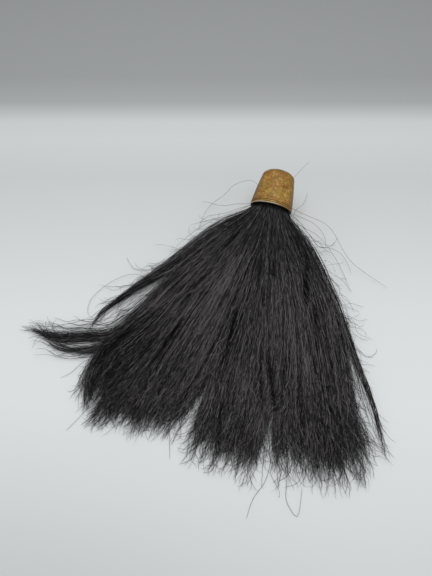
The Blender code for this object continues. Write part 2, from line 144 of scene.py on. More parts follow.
class Shade:
    """A Principled material, with short ways to add and join the nodes that feed it."""

    def __init__(self, name: str, roughness: float, **constants: float) -> None:
        """Makes the material.

        Args:
            name: The material's name.
            roughness: The shader's roughness where nothing drives it.
            constants: Further values for the shader's own sockets, with _ for a space in their names.
        """
        self.material = bpy.data.materials.new(name)
        self.material.use_nodes = True
        self.tree = self.material.node_tree
        self.shader = self.tree.nodes["Principled BSDF"]
        self.shader.inputs["Roughness"].default_value = roughness
        for socket, value in constants.items():
            self.shader.inputs[socket.replace("_", " ")].default_value = value

    def add(self, kind: str, values: dict[str, object] | None = None, **settings: object) -> bpy.types.Node:
        """Adds a node.

        Args:
            kind: The node's type.
            values: Values for its input sockets by name.
            settings: Values for its own properties.

        Returns:
            The new node.
        """
        node = self.tree.nodes.new(kind)
        for name, value in settings.items():
            setattr(node, name, value)
        for socket, value in (values or {}).items():
            node.inputs[socket].default_value = value
        return node

    def join(self, source: Socket, target: Socket) -> None:
        """Links one socket to another."""
        self.tree.links.new(source, target)

    def drive(self, name: str, source: Socket) -> None:
        """Links a socket to one of the shader's own, by its name."""
        self.join(source, self.shader.inputs[name])

    def feed(self, target: Socket, value: Socket | float | Colour) -> None:
        """Gives a node's input a number, a colour or a link."""
        if isinstance(value, float):
            target.default_value = value
        elif isinstance(value, tuple):
            target.default_value = (*value, 1.0)
        else:
            self.join(value, target)

    def noise(self, vector: Socket, grain: Grain) -> Socket:
        """Lays a noise pattern on places and returns its value."""
        node = self.add(
            "ShaderNodeTexNoise", {"Scale": grain.scale, "Detail": grain.detail, "Distortion": grain.warp}
        )
        self.join(vector, node.inputs["Vector"])
        return node.outputs["Fac"]

    def split(self, vector: Socket) -> bpy.types.NodeOutputs:
        """The X, Y and Z of places."""
        node = self.add("ShaderNodeSeparateXYZ")
        self.join(vector, node.inputs["Vector"])
        return node.outputs

    def ramp(self, value: Socket, stops: Sequence[tuple[float, Colour]]) -> Socket:
        """Turns a value into a colour.

        Args:
            value: What the ramp reads.
            stops: Places from 0 to 1, each with its colour.

        Returns:
            The colour.
        """
        node = self.add("ShaderNodeValToRGB")
        elements = node.color_ramp.elements
        while len(elements) < len(stops):
            elements.new(0.5)
        for element, (place, colour) in zip(elements, stops):
            element.position = place
            element.color = (*colour, 1.0)
        self.join(value, node.inputs["Fac"])
        return node.outputs["Color"]

    def reach(self, value: Socket, fade: Fade) -> Socket:
        """Reads a fade at a value."""
        node = self.add(
            "ShaderNodeMapRange",
            {"From Min": fade.start, "From Max": fade.end, "To Min": fade.before, "To Max": fade.after},
            interpolation_type="SMOOTHSTEP",
        )
        self.join(value, node.inputs["Value"])
        return node.outputs["Result"]

    def stain(self, ground: Socket, value: Socket, fade: Fade, colour: Colour, blend: str = "MIX") -> Socket:
        """Lays a colour on another where a value says so.

        Args:
            ground: The colour underneath.
            value: What the fade reads.
            fade: How much of the new colour shows.
            colour: The new colour.
            blend: How it is laid on.

        Returns:
            The stained colour.
        """
        node = self.add("ShaderNodeMix", data_type="RGBA", blend_type=blend)
        self.join(self.reach(value, fade), node.inputs["Factor"])
        self.join(ground, node.inputs["A"])
        self.feed(node.inputs["B"], colour)
        return node.outputs["Result"]

    def sums(self, operation: str, first: Socket, second: Socket | float) -> Socket:
        """Adds a math node.

        Args:
            operation: What it does.
            first: Its first value.
            second: Its second value, or a socket that gives it.

        Returns:
            Its result.
        """
        node = self.add("ShaderNodeMath", operation=operation)
        self.join(first, node.inputs[0])
        self.feed(node.inputs[1], second)
        return node.outputs["Value"]

    def bump(self, height: Socket, strength: float, depth: float) -> None:
        """Raises the surface where a value is high.

        Args:
            height: The value.
            strength: How much of the bump shows.
            depth: Its height in metres.
        """
        node = self.add("ShaderNodeBump", {"Strength": strength, "Distance": depth})
        self.join(height, node.inputs["Height"])
        self.drive("Normal", node.outputs["Normal"])

    def on_cap(self, seat: CapSeat, stretch: Place = (1.0, 1.0, 1.0)) -> Socket:
        """Places measured from the mouth's middle, with Z along the cap's axis.

        Args:
            seat: Where the cap stands.
            stretch: How long the pattern is drawn out along each way.

        Returns:
            The places.
        """
        coordinates = self.add("ShaderNodeTexCoord")
        mapping = self.add("ShaderNodeMapping", vector_type="TEXTURE")
        mapping.inputs["Location"].default_value = seat.mouth
        mapping.inputs["Rotation"].default_value = seat.matrix.to_euler("XYZ")
        mapping.inputs["Scale"].default_value = stretch
        self.join(coordinates.outputs["Object"], mapping.inputs["Vector"])
        return mapping.outputs["Vector"]

    def wear(self, piece: bpy.types.Object) -> None:
        """Dresses a piece in this material alone."""
        piece.data.materials.clear()
        piece.data.materials.append(self.material)
        for slot in piece.material_slots:
            slot.material = self.material


@dataclass(frozen=True)
class TurnedBurl:
    """The cap's wood: golden brown with a close mottle, lightly polished by hands, with painted shade at its
    sides and shoulder.
    """

    dark: Colour = (0.165, 0.078, 0.013)
    golden: Colour = (0.315, 0.166, 0.033)
    light: Colour = (0.520, 0.310, 0.082)
    russet: Colour = (0.235, 0.092, 0.016)
    olive: Colour = (0.250, 0.180, 0.030)
    # A dark brown for painted shade on the cap's sides and shoulder, and for painted shade and some dirt in
    # its groove.
    shade_and_dirt: Colour = (0.060, 0.036, 0.014)
    dark_at: float = 0.37
    golden_at: float = 0.50
    light_at: float = 0.62
    roughness: float = 0.46
    polish_fade: Fade = Fade(0.3, 0.7, 0.54, 0.38)
    sheen: float = 0.22
    mottle: Grain = Grain(215.0, 3.0, 1.6)
    mottle_share: float = 0.50
    streaks: Grain = Grain(258.0, 3.0, 0.8)
    streak_share: float = 0.30
    streak_stretch: Place = (2.2, 2.2, 0.85)
    clouds: Grain = Grain(86.0, 2.0, 0.6)
    cloud_share: float = 0.20
    tints: Grain = Grain(161.25, 1.0, 0.5)
    flecks: Grain = Grain(820.0, 2.0)
    russet_fade: Fade = Fade(0.50, 0.66, 0.0, 0.50)
    olive_fade: Fade = Fade(0.36, 0.48, 0.40, 0.0)
    fleck_fade: Fade = Fade(0.60, 0.72, 0.0, 0.40)
    # Painted shade and some dirt in the turned groove.
    groove_fade: Fade = Fade(0.00030, 0.00084, 0.50, 0.0)
    left_shade_fade: Fade = Fade(-0.0240, -0.0110, 0.50, 0.0)
    right_shade_fade: Fade = Fade(0.0160, 0.0235, 0.0, 0.35)
    shoulder_shade_fade: Fade = Fade(0.0370, 0.0470, 0.0, 0.45)
    streak_relief: float = 0.6
    relief: float = 0.25
    relief_depth: float = 0.0003

    def shade(self, seat: CapSeat, groove: float) -> Shade:
        """Makes the material on the cap's own axis.

        Args:
            seat: Where the cap stands.
            groove: The turned groove's height above the mouth, where painted shade and some dirt darken the
                wood.

        Returns:
            The material.
        """
        look = Shade("turned_burl", self.roughness, Specular_IOR_Level=self.sheen)
        place = look.on_cap(seat)
        drawn_out = look.on_cap(seat, self.streak_stretch)
        mottle, streaks = look.noise(place, self.mottle), look.noise(drawn_out, self.streaks)
        tints, flecks = look.noise(drawn_out, self.tints), look.noise(place, self.flecks)
        mixed = look.sums("MULTIPLY", mottle, self.mottle_share)
        for pattern, share in (
            (streaks, self.streak_share), (look.noise(place, self.clouds), self.cloud_share)
        ):
            mixed = look.sums("ADD", mixed, look.sums("MULTIPLY", pattern, share))
        stops = ((self.dark_at, self.dark), (self.golden_at, self.golden), (self.light_at, self.light))
        colour = look.ramp(mixed, stops)
        across, _, height = look.split(place)
        from_groove = look.sums("ABSOLUTE", look.sums("SUBTRACT", height, groove), 0.0)
        for value, fade, tint in (
            (tints, self.russet_fade, self.russet),
            (tints, self.olive_fade, self.olive),
            (flecks, self.fleck_fade, self.dark),
            # Painted shade and some dirt in the groove.
            (from_groove, self.groove_fade, self.shade_and_dirt),
            # Painted shade down the cap's left and right sides and on its shoulder below the dome.
            (across, self.left_shade_fade, self.shade_and_dirt),
            (across, self.right_shade_fade, self.shade_and_dirt),
            (height, self.shoulder_shade_fade, self.shade_and_dirt),
        ):
            colour = look.stain(colour, value, fade, tint)
        look.drive("Base Color", colour)
        look.drive("Roughness", look.reach(mottle, self.polish_fade))
        raised = look.sums("ADD", look.sums("MULTIPLY", streaks, self.streak_relief), flecks)
        look.bump(raised, self.relief, self.relief_depth)
        return look


@dataclass(frozen=True)
class PlainFinish:
    """Two colours in one grain, with the surface raised a little where the grain is high."""

    name: str
    low: Colour
    high: Colour
    low_at: float
    high_at: float
    roughness: float
    grain: Grain
    relief: float
    relief_depth: float
    stretch: Place = (1.0, 1.0, 1.0)

    def worn_and_shaded(self, look: Shade, colour: Socket, seat: CapSeat) -> Socket:
        """The colour as use and painted shade leave it: a finish that shows wear or painted shade lays it on
        here.
        """
        return colour

    def shade(self, seat: CapSeat) -> Shade:
        """Makes the material on the cap's own axis."""
        look = Shade(self.name, self.roughness)
        grain = look.noise(look.on_cap(seat, self.stretch), self.grain)
        colour = look.ramp(grain, ((self.low_at, self.low), (self.high_at, self.high)))
        look.drive("Base Color", self.worn_and_shaded(look, colour, seat))
        look.bump(grain, self.relief, self.relief_depth)
        return look


@dataclass(frozen=True)
class PaleWood(PlainFinish):
    """The mouth ring's bare pale wood, with painted shadow and some soil where it meets the hair, rubbed
    brown at its right.
    """

    name: str = "pale_wood"
    low: Colour = (0.340, 0.255, 0.160)
    high: Colour = (0.500, 0.395, 0.265)
    low_at: float = 0.36
    high_at: float = 0.62
    roughness: float = 0.55
    grain: Grain = Grain(620.0, 4.0, 0.7)
    relief: float = 0.3
    relief_depth: float = 0.0002
    stretch: Place = (2.0, 2.0, 0.6)
    # Painted shadow, with some soil, on the ring's lower edge where the hair meets it.
    shadow_and_soil: Colour = (0.035, 0.025, 0.016)
    shadow_and_soil_fade: Fade = Fade(0.0002, 0.0008, 1.0, 0.0)
    rub: Colour = (0.300, 0.165, 0.040)
    rub_fade: Fade = Fade(0.004, 0.018, 0.0, 1.0)

    def worn_and_shaded(self, look: Shade, colour: Socket, seat: CapSeat) -> Socket:
        """Rubs the ring brown towards its right, and paints shadow and some soil on its lower edge."""
        across, _, height = look.split(look.on_cap(seat))
        colour = look.stain(colour, across, self.rub_fade, self.rub)
        return look.stain(colour, height, self.shadow_and_soil_fade, self.shadow_and_soil)


@dataclass(frozen=True)
class HardGlue(PlainFinish):
    """The hardened glue in the closed end of the socket."""

    name: str = "hard_glue"
    low: Colour = (0.100, 0.050, 0.020)
    high: Colour = (0.190, 0.095, 0.030)
    low_at: float = 0.35
    high_at: float = 0.70
    roughness: float = 0.35
    grain: Grain = Grain(180.0, 3.0, 0.4)
    relief: float = 0.4
    relief_depth: float = 0.0004


@dataclass(frozen=True)
class HempCord(PlainFinish):
    """The twisted cord that binds the hair's roots."""

    name: str = "hemp_cord"
    low: Colour = (0.150, 0.100, 0.052)
    high: Colour = (0.360, 0.260, 0.145)
    low_at: float = 0.38
    high_at: float = 0.62
    roughness: float = 0.8
    grain: Grain = Grain(900.0, 3.0, 1.2)
    relief: float = 0.6
    relief_depth: float = 0.0003
    stretch: Place = (0.5, 0.5, 1.4)


@dataclass(frozen=True)
class Horsehair:
    """Black horsehair, each hair a little lighter, darker or browner than the next.

    The fades change a hair's tone: by the pattern of patches, which paints glints and darker patches on it,
    and by the distance along it from its hidden end, with painted shadow where it leaves the ring, painted
    shade where the cap shades it, and towards its tip.
    """

    black: Colour = (0.0015, 0.0013, 0.0016)
    soft_black: Colour = (0.0092, 0.0084, 0.0092)
    grey: Colour = (0.0720, 0.0680, 0.0715)
    brown: Colour = (0.1800, 0.1680, 0.1680)
    soft_black_at: float = 0.40
    grey_at: float = 0.76
    roughness: float = 0.46
    polish_fade: Fade = Fade(0.3, 0.7, 0.54, 0.38)
    sheen: float = 0.11
    # Patches of painted glints, and of darker tone, along each hair.
    glint_and_tone_patches: Grain = Grain(120.0, 2.0)
    glint_and_tone_fade: Fade = Fade(0.36, 0.64, -0.24, 0.24)
    # Painted shadow on the hair where it leaves the ring.
    ring_shadow_fade: Fade = Fade(0.029, 0.038, -0.45, 0.0)
    # Painted shade on the hair near the cap, a little lighter past it.
    cap_shade_fade: Fade = Fade(0.06, 0.15, -0.11, 0.04)
    tip_fade: Fade = Fade(0.20, 0.29, 0.0, -0.01)

    def shade(self) -> Shade:
        """Makes the material, which reads each hair's own tone and varies it slowly along the hair."""
        look = Shade("horsehair", self.roughness, Specular_IOR_Level=self.sheen)
        tone = look.add("ShaderNodeAttribute", attribute_name="tone").outputs["Fac"]
        lay = look.add("ShaderNodeAttribute", attribute_name="lay").outputs["Vector"]
        # Painted glints and darker patches along the hair.
        glint_and_tone = look.noise(lay, self.glint_and_tone_patches)
        _, along, _ = look.split(lay)
        tone = look.sums("ADD", tone, look.reach(glint_and_tone, self.glint_and_tone_fade))
        # Painted shade near the cap and painted shadow by the ring, along each hair.
        for fade in (self.cap_shade_fade, self.tip_fade, self.ring_shadow_fade):
            tone = look.sums("ADD", tone, look.reach(along, fade))
        stops = (
            (0.0, self.black), (self.soft_black_at, self.soft_black), (self.grey_at, self.grey),
            (1.0, self.brown),
        )
        look.drive("Base Color", look.ramp(tone, stops))
        look.drive("Roughness", look.reach(glint_and_tone, self.polish_fade))
        return look


@dataclass(frozen=True)
class Tabletop:
    """The pale table, painted with light and shade so that it is lightest round the hair's ends, and the
    greyer sweep behind it.
    """

    tint: Colour = (0.982, 1.006, 1.010)
    # Tones by distance behind the mouth's middle: painted light and shade on the table, then the greyer sweep
    # past it.
    tones: tuple[Span, ...] = (
        (-0.50, 0.56), (-0.40, 0.64), (-0.32, 0.70), (-0.24, 0.735), (-0.13, 0.705), (0.0, 0.625),
        (0.09, 0.585), (0.17, 0.625), (0.212, 0.605), (0.262, 0.392), (0.33, 0.338), (0.60, 0.330),
    )
    roughness: float = 0.9
    sheen: float = 0.1
    shadow_at: Span = (-0.30, -0.62)
    shadow: Colour = (0.86, 0.86, 0.86)
    shadow_fade: Fade = Fade(0.15, 0.46, 1.0, 0.0)

    def shade(self, start: Vector) -> Shade:
        """Makes the material, whose tone changes with the distance behind the whisk, as painted light and
        shade and then the greyer sweep, and with a painted shadow near one corner.

        Args:
            start: The place that distances are measured from.

        Returns:
            The material.
        """
        look = Shade("tabletop", self.roughness, Specular_IOR_Level=self.sheen)
        place = look.add("ShaderNodeTexCoord").outputs["Object"]
        first, last = self.tones[0][0], self.tones[-1][0]
        ends = {"From Min": start.y + first, "From Max": start.y + last}
        span = look.add("ShaderNodeMapRange", ends, interpolation_type="LINEAR")
        look.join(look.split(place)["Y"], span.inputs["Value"])
        stops = [
            ((at - first) / (last - first), tuple(level * part for part in self.tint))
            for at, level in self.tones
        ]
        tone = look.ramp(span.outputs["Result"], stops)
        corner = look.add("ShaderNodeVectorMath", operation="DISTANCE")
        corner.inputs[1].default_value = (start.x + self.shadow_at[0], start.y + self.shadow_at[1], 0.0)
        look.join(place, corner.inputs[0])
        shaded = look.stain(tone, corner.outputs["Value"], self.shadow_fade, self.shadow, "MULTIPLY")
        look.drive("Base Color", shaded)
        return look


def settle(piece: bpy.types.Object, slot: str, *nodes: str) -> None:
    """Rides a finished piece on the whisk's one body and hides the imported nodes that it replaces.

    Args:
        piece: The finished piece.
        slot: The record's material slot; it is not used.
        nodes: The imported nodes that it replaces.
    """
    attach(piece, BODY)
    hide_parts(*nodes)
    LOG.info("%s: %d faces", piece.name, len(piece.data.polygons))


def arc(middle: Span, radius: float, start: float, end: float, points: int) -> list[Span]:
    """Points of (radius, height) round a corner.

    Args:
        middle: The corner's centre.
        radius: The corner's own radius.
        start: Where it starts, in degrees.
        end: Where it ends, in degrees.
        points: How many points it has.

    Returns:
        The points.
    """
    angles = np.radians(np.linspace(start, end, points))
    return [(middle[0] + radius * math.cos(a), middle[1] + radius * math.sin(a)) for a in angles]


def on_table(bearing: np.ndarray, distance: np.ndarray) -> np.ndarray:
    """Level places from bearings and distances, measured from the point under the mouth's middle."""
    angle = np.radians(bearing)
    return np.stack([distance * np.sin(angle), -distance * np.cos(angle)], axis=-1)


@dataclass(kw_only=True)
class TurnedPiece:
    """A piece turned about the cap's axis."""

    seat: CapSeat
    around: int = 144
    smooth_below: float = 40.0
    weld: float = 1e-6

    def profile(self) -> list[Span]:
        """The section, as points of (radius, height above the mouth)."""
        raise NotImplementedError

    def turn(self, name: str, hollow: bool) -> bpy.types.Object:
        """Turns the profile: a ring is drawn and extruded from point to point.

        Args:
            name: The piece's name.
            hollow: Whether the profile closes on itself round a bore, instead of on the axis.

        Returns:
            The piece, in its place, with its object at the origin.
        """
        profile = self.profile()
        radius, height = profile[0]
        fill = "NOTHING" if hollow else "TRIFAN"
        bpy.ops.object.select_all(action="DESELECT")
        bpy.ops.mesh.primitive_circle_add(
            vertices=self.around, radius=radius, fill_type=fill, location=(0.0, 0.0, height)
        )
        piece = bpy.context.object
        piece.name = name
        piece.data.name = name
        bpy.ops.object.mode_set(mode="EDIT")
        bpy.ops.mesh.select_all(action="SELECT")
        if not hollow:
            self.select_rim(piece, radius)
        for (radius, height), (wider, higher) in zip(profile, profile[1:]):
            bpy.ops.mesh.extrude_region_move(TRANSFORM_OT_translate={"value": (0.0, 0.0, higher - height)})
            share = wider / radius
            bpy.ops.transform.resize(value=(share, share, 1.0), center_override=(0.0, 0.0, higher))
        if hollow:
            bpy.ops.mesh.select_all(action="SELECT")
            bpy.ops.mesh.remove_doubles(threshold=self.weld)
        else:
            bpy.ops.mesh.merge(type="CENTER")
        bpy.ops.mesh.select_all(action="SELECT")
        bpy.ops.mesh.normals_make_consistent(inside=False)
        bpy.ops.object.mode_set(mode="OBJECT")
        bpy.ops.object.shade_smooth_by_angle(angle=math.radians(self.smooth_below))
        piece.matrix_world = self.seat.matrix @ piece.matrix_world
        bpy.ops.object.transform_apply(location=True, rotation=True, scale=True)
        return piece

    def select_rim(self, piece: bpy.types.Object, radius: float) -> None:
        """Selects the rim of a filled ring, so that its middle stays behind as the piece's end."""
        bpy.ops.object.mode_set(mode="OBJECT")
        vertices = piece.data.vertices
        for vertex in vertices:
            vertex.select = math.hypot(vertex.co.x, vertex.co.y) > radius / 2
        for polygon in piece.data.polygons:
            polygon.select = False
        for edge in piece.data.edges:
            edge.select = all(vertices[end].select for end in edge.vertices)
        bpy.ops.object.mode_set(mode="EDIT")


@dataclass(kw_only=True)
class TurnedCap(TurnedPiece):
    """The hollow cap, turned from one block: socket, rim, fine groove, tapered side and squarish dome."""

    length: float = 0.0494
    mouth_radius: float = 0.0264
    shoulder_radius: float = 0.0209
    dome_height: float = 0.0103
    dome_squareness: float = 0.7
    dome_points: int = 20
    belly: float = 0.0005
    side_points: int = 15
    edge: float = 0.0021
    lip_round: float = 0.0006
    lip_points: int = 5
    groove_up: float = 0.0022
    groove_width: float = 0.0010
    groove_depth: float = 0.0006
    groove_points: int = 9
    wall_at_mouth: float = 0.0034
    wall_at_shoulder: float = 0.0022
    closed_end: float = 0.0085
    socket_corner: float = 0.003
    socket_points: int = 7
    first_ring: float = 0.004
    last_ring: float = 0.0004
    finish: TurnedBurl = field(default_factory=TurnedBurl)

    @property
    def groove(self) -> float:
        """The groove's height above the mouth."""
        return self.edge + self.groove_up

    def side(self, height: float) -> float:
        """The outside radius at a height above the mouth."""
        share = (height - self.edge) / (self.length - self.dome_height - self.edge)
        straight = self.mouth_radius + (self.shoulder_radius - self.mouth_radius) * share
        return straight + self.belly * math.sin(math.pi * share)

    def profile(self) -> list[Span]:
        """The whole section, from the socket's end round the rim to the top of the dome."""
        shoulder = self.length - self.dome_height
        end = self.length - self.closed_end
        narrow = self.shoulder_radius - self.wall_at_shoulder
        corner = (narrow - self.socket_corner, end - self.socket_corner)
        points = [(self.first_ring, end)]
        points += arc(corner, self.socket_corner, 90, 0, self.socket_points)
        points.append((self.mouth_radius - self.wall_at_mouth, self.edge))
        lip = (self.mouth_radius - self.lip_round, self.edge + self.lip_round)
        points += arc(lip, self.lip_round, -90, 0, self.lip_points)
        half = self.groove_width / 2
        for share in np.linspace(-1, 1, self.groove_points):
            height = self.groove + half * share
            points.append((self.side(height) - self.groove_depth * math.cos(math.pi / 2 * share), height))
        heights = np.linspace(self.groove + half, shoulder, self.side_points)[1:]
        points += [(self.side(height), height) for height in heights]
        for angle in np.radians(np.linspace(0, 90, self.dome_points))[1:-1]:
            across = self.shoulder_radius * math.cos(angle) ** self.dome_squareness
            points.append((across, shoulder + self.dome_height * math.sin(angle)))
        points.append((self.last_ring, self.length))
        return points

    def build(self) -> bpy.types.Object:
        """Turns the cap and dresses it."""
        piece = self.turn("burl_cap", hollow=False)
        self.finish.shade(self.seat, self.groove).wear(piece)
        settle(piece, "turned_wood", "cap")
        return piece


@dataclass(kw_only=True)
class MouthRing(TurnedPiece):
    """The thin pale ring on the cap's lower edge."""

    height: float = 0.0018
    outside: float = 0.0261
    wall: float = 0.0028
    ease: float = 0.0005
    ease_points: int = 5
    finish: PaleWood = field(default_factory=PaleWood)

    def profile(self) -> list[Span]:
        """The ring's closed section."""
        inside, eased = self.outside - self.wall, self.outside - self.ease
        points = [(inside, self.height), (inside, self.height / 2), (inside, 0.0)]
        points += arc((eased, self.ease), self.ease, -90, 0, self.ease_points)
        points += arc((eased, self.height - self.ease), self.ease, 0, 90, self.ease_points)
        points.append(points[0])
        return points

    def build(self) -> bpy.types.Object:
        """Turns the ring and dresses it."""
        piece = self.turn("pale_mouth_ring", hollow=True)
        self.finish.shade(self.seat).wear(piece)
        settle(piece, "pale_wood", "mouth_ring")
        return piece


@dataclass
class RootBinding:
    """The glue and the cord inside the cap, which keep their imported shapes."""

    seat: CapSeat
    glue: HardGlue = field(default_factory=HardGlue)
    cord: HempCord = field(default_factory=HempCord)

    def dress(self) -> None:
        """Dresses the two inner pieces."""
        for node, slot, finish in (
            ("glue_bed", "hardened_glue", self.glue), ("binding_cord", "hemp_cord", self.cord)
        ):
            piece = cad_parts[node]
            finish.shade(self.seat).wear(piece)
            LOG.info("%s: dressed", node)


@dataclass(frozen=True)
class LockShape:
    """One lock of hair, from its edges on the table to its end.

    left and right are bearings at the fan's stations, and the ribs that follow them are pairs of (bearing,
    distance), left and right, of which the last is where the lock's mass ends. root_share is the lock's part
    of the round root, and the partings say how deep the lock falls off at its left and right edge. A veil of
    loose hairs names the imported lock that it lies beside, and shares that lock's part of the root.
    """

    name: str
    root_share: int
    hairs: int
    left: ByStation
    right: ByStation
    ribs: tuple[Rib, ...]
    partings: Span = (0.1, 0.1)
    ending: Ending = Ending.CUT
    beside: str = ""


def veil(
    name: str, hairs: int, left: ByStation, right: ByStation, ribs: tuple[Rib, ...], beside: str
) -> LockShape:
    """A thin veil of loose hairs that lies over the edge of a packed lock."""
    return LockShape(name, 0, hairs, left, right, ribs, (0.3, 0.3), Ending.VEIL, beside)


@dataclass(frozen=True)
class Parting:
    """A dark furrow between the tuft's bigger strands, with painted shade in it, or a band of painted shade
    over them.

    It runs from one bearing and distance to another. A band of negative depth is painted lighter than its
    sides.
    """

    bearing: float
    distance: float
    end_bearing: float
    end_distance: float
    half_width: float
    depth: float

    def reading(self, bearing: np.ndarray, distance: np.ndarray) -> tuple[np.ndarray, np.ndarray]:
        """Reads the parting at places on the table.

        Args:
            bearing: The places' bearings.
            distance: Their distances.

        Returns:
            How much of the parting shows there, and how far to its right the places lie.
        """
        share = (distance - self.distance) / (self.end_distance - self.distance)
        middle = self.bearing + (self.end_bearing - self.bearing) * share
        aside = np.radians(bearing - middle) * distance
        window = np.sqrt(np.sin(math.pi * np.clip(share, 0, 1)).clip(0, 1))
        return np.exp(-((aside / self.half_width) ** 2)) * window, aside


# Furrows that part the hairs, whose tone is darkened in them with painted shade.
PARTINGS = (
    Parting(33.1, 0.075, 20.6, 0.101, 0.0022, 0.75),
    Parting(21.3, 0.098, 14.0, 0.133, 0.0030, 1.00),
    Parting(17.4, 0.137, 12.7, 0.182, 0.0022, 0.45),
    Parting(-7.9, 0.109, -6.4, 0.138, 0.0018, 0.55),
    Parting(-18.5, 0.143, -17.0, 0.195, 0.0020, 1.00),
    Parting(-17.0, 0.189, -18.3, 0.221, 0.0016, 0.75),
    Parting(-40.7, 0.102, -42.1, 0.157, 0.0016, 0.50),
    Parting(-48.4, 0.053, -48.6, 0.087, 0.0018, 0.60),
    Parting(-11.6, 0.072, -10.1, 0.122, 0.0014, 0.35),
    Parting(-52.0, 0.118, -50.9, 0.162, 0.0014, 0.45),
    Parting(-35.8, 0.178, -34.6, 0.242, 0.0020, 1.00),
    Parting(-43.1, 0.184, -42.4, 0.224, 0.0016, 0.60),
    Parting(-55.3, 0.136, -54.7, 0.178, 0.0018, 0.70),
    Parting(-46.6, 0.218, -45.1, 0.268, 0.0022, 0.75),
    Parting(-6.4, 0.187, -5.3, 0.250, 0.0014, 0.55),
    Parting(-4.1, 0.185, -2.2, 0.250, 0.0018, 0.90),
    Parting(-14.7, 0.248, -13.2, 0.296, 0.0016, 0.60),
    Parting(9.7, 0.221, 11.1, 0.269, 0.0014, 0.50),
    Parting(-27.9, 0.211, -28.0, 0.254, 0.0013, 0.50),
    Parting(-0.6, 0.072, -1.4, 0.097, 0.0014, 0.45),
)

# Broad bands of painted shade, and of painted light where the depth is negative.
BANDS = (
    Parting(-42.0, 0.190, -38.0, 0.345, 0.0380, 0.21),
    Parting(9.0, 0.200, 7.0, 0.345, 0.0350, 0.08),
    Parting(-49.5, 0.232, -60.5, 0.350, 0.0220, 0.16),
    Parting(-61.0, 0.110, -54.5, 0.285, 0.0090, 0.14),
    Parting(-29.7, 0.070, -31.3, 0.150, 0.0100, -0.16),
    Parting(2.6, 0.100, 4.0, 0.168, 0.0090, -0.16),
    Parting(-29.4, 0.145, -30.2, 0.216, 0.0065, -0.16),
    Parting(-23.0, 0.150, -22.6, 0.226, 0.0050, -0.12),
    Parting(5.5, 0.170, 6.0, 0.232, 0.0070, -0.16),
    Parting(-10.0, 0.205, -10.0, 0.266, 0.0055, -0.14),
)


@dataclass(frozen=True)
class FanShape:
    """Sizes that all locks share: the fan's stations and heights, and the round root that they start on."""

    stations: ByStation = (0.060, 0.135, 0.215)
    tops: ByStation = (0.0315, 0.0215, 0.0145)
    flattened: ByStation = (0.25, 0.38, 0.30)
    flattened_ends: float = 0.15
    middle_bearing: float = -14.0
    half_spread: float = 62.0
    rib_top: float = 0.0105
    tip_top: float = 0.0062
    bore: float = 0.0225
    bore_filled: float = 0.8
    root_edge: float = 0.995
    neck: float = 0.0168
    back_depth: float = 0.028
    neck_depth: float = 0.010
    leaving: float = 0.0035
    widening: float = 1.04
    side_widening: float = 0.12
    past_end: float = 0.034
    past_end_used: float = 0.8
    lowest: float = 0.0004


@dataclass(frozen=True)
class HairKind:
    """How the hairs of one kind of lock end.

    Args:
        ends: Shares of the hairs, each with how far past the lock's end they reach, negative before it.
        waviness: How strong the slow waves in the hairs are.
        turns: How far the last stretch of most hairs, of some and of a few turns aside, in degrees.
        loose: Share of the hairs that lie outside the lock's edges.
        loose_reach: How far outside they lie.
    """

    ends: tuple[Span, ...]
    waviness: float
    turns: tuple[float, float, float]
    loose: float
    loose_reach: float


KINDS = {
    Ending.CUT: HairKind(
        ((0.0, -0.075), (0.50, -0.028), (0.78, -0.012), (0.925, -0.001), (1.0, 0.016)),
        1.0, (19.0, 44.0, 85.0), 0.035, 0.0045,
    ),
    Ending.DENSE: HairKind(
        ((0.0, -0.070), (0.40, -0.022), (0.71, -0.009), (0.905, 0.0), (1.0, 0.011)),
        1.0, (15.0, 38.0, 80.0), 0.035, 0.0045,
    ),
    Ending.POINTED: HairKind(
        ((0.0, -0.120), (0.35, -0.060), (0.65, -0.025), (0.92, -0.006), (1.0, 0.005)),
        0.35, (4.0, 10.0, 30.0), 0.06, 0.0018,
    ),
    Ending.CURLED: HairKind(
        ((0.0, -0.080), (0.45, -0.032), (0.78, -0.012), (0.94, -0.002), (1.0, 0.008)),
        0.6, (8.0, 24.0, 55.0), 0.15, 0.0034,
    ),
    Ending.VEIL: HairKind(
        ((0.0, -0.110), (0.5, -0.040), (0.8, -0.010), (1.0, 0.012)), 1.0, (12.0, 26.0, 50.0), 0.0, 0.0
    ),
}

FRINGE = (
    (-41.0, 0.0), (-40.0, 0.0), (-39.0, -0.011), (-38.3, -0.009), (-37.5, -0.001), (-36.0, 0.004),
    (-35.0, 0.005), (-34.0, 0.001), (-32.0, -0.001), (-30.0, 0.001), (-28.0, 0.001), (-26.0, -0.003),
    (-24.0, -0.001), (-22.0, -0.002), (-19.0, -0.002), (-17.0, 0.003), (-15.0, -0.001), (-13.5, 0.0),
    (-12.0, -0.002), (-10.0, -0.004), (-8.5, 0.0), (-7.0, 0.008), (-5.5, 0.006), (-2.8, 0.008),
    (-1.8, 0.013), (-0.8, 0.002), (-0.2, -0.006), (1.0, 0.004), (2.0, 0.011), (3.2, 0.009), (4.3, 0.008),
    (5.2, 0.0), (6.2, -0.001), (7.5, 0.006), (10.0, 0.003), (11.0, 0.0), (12.0, 0.005), (13.5, 0.005),
    (15.0, -0.002),
)

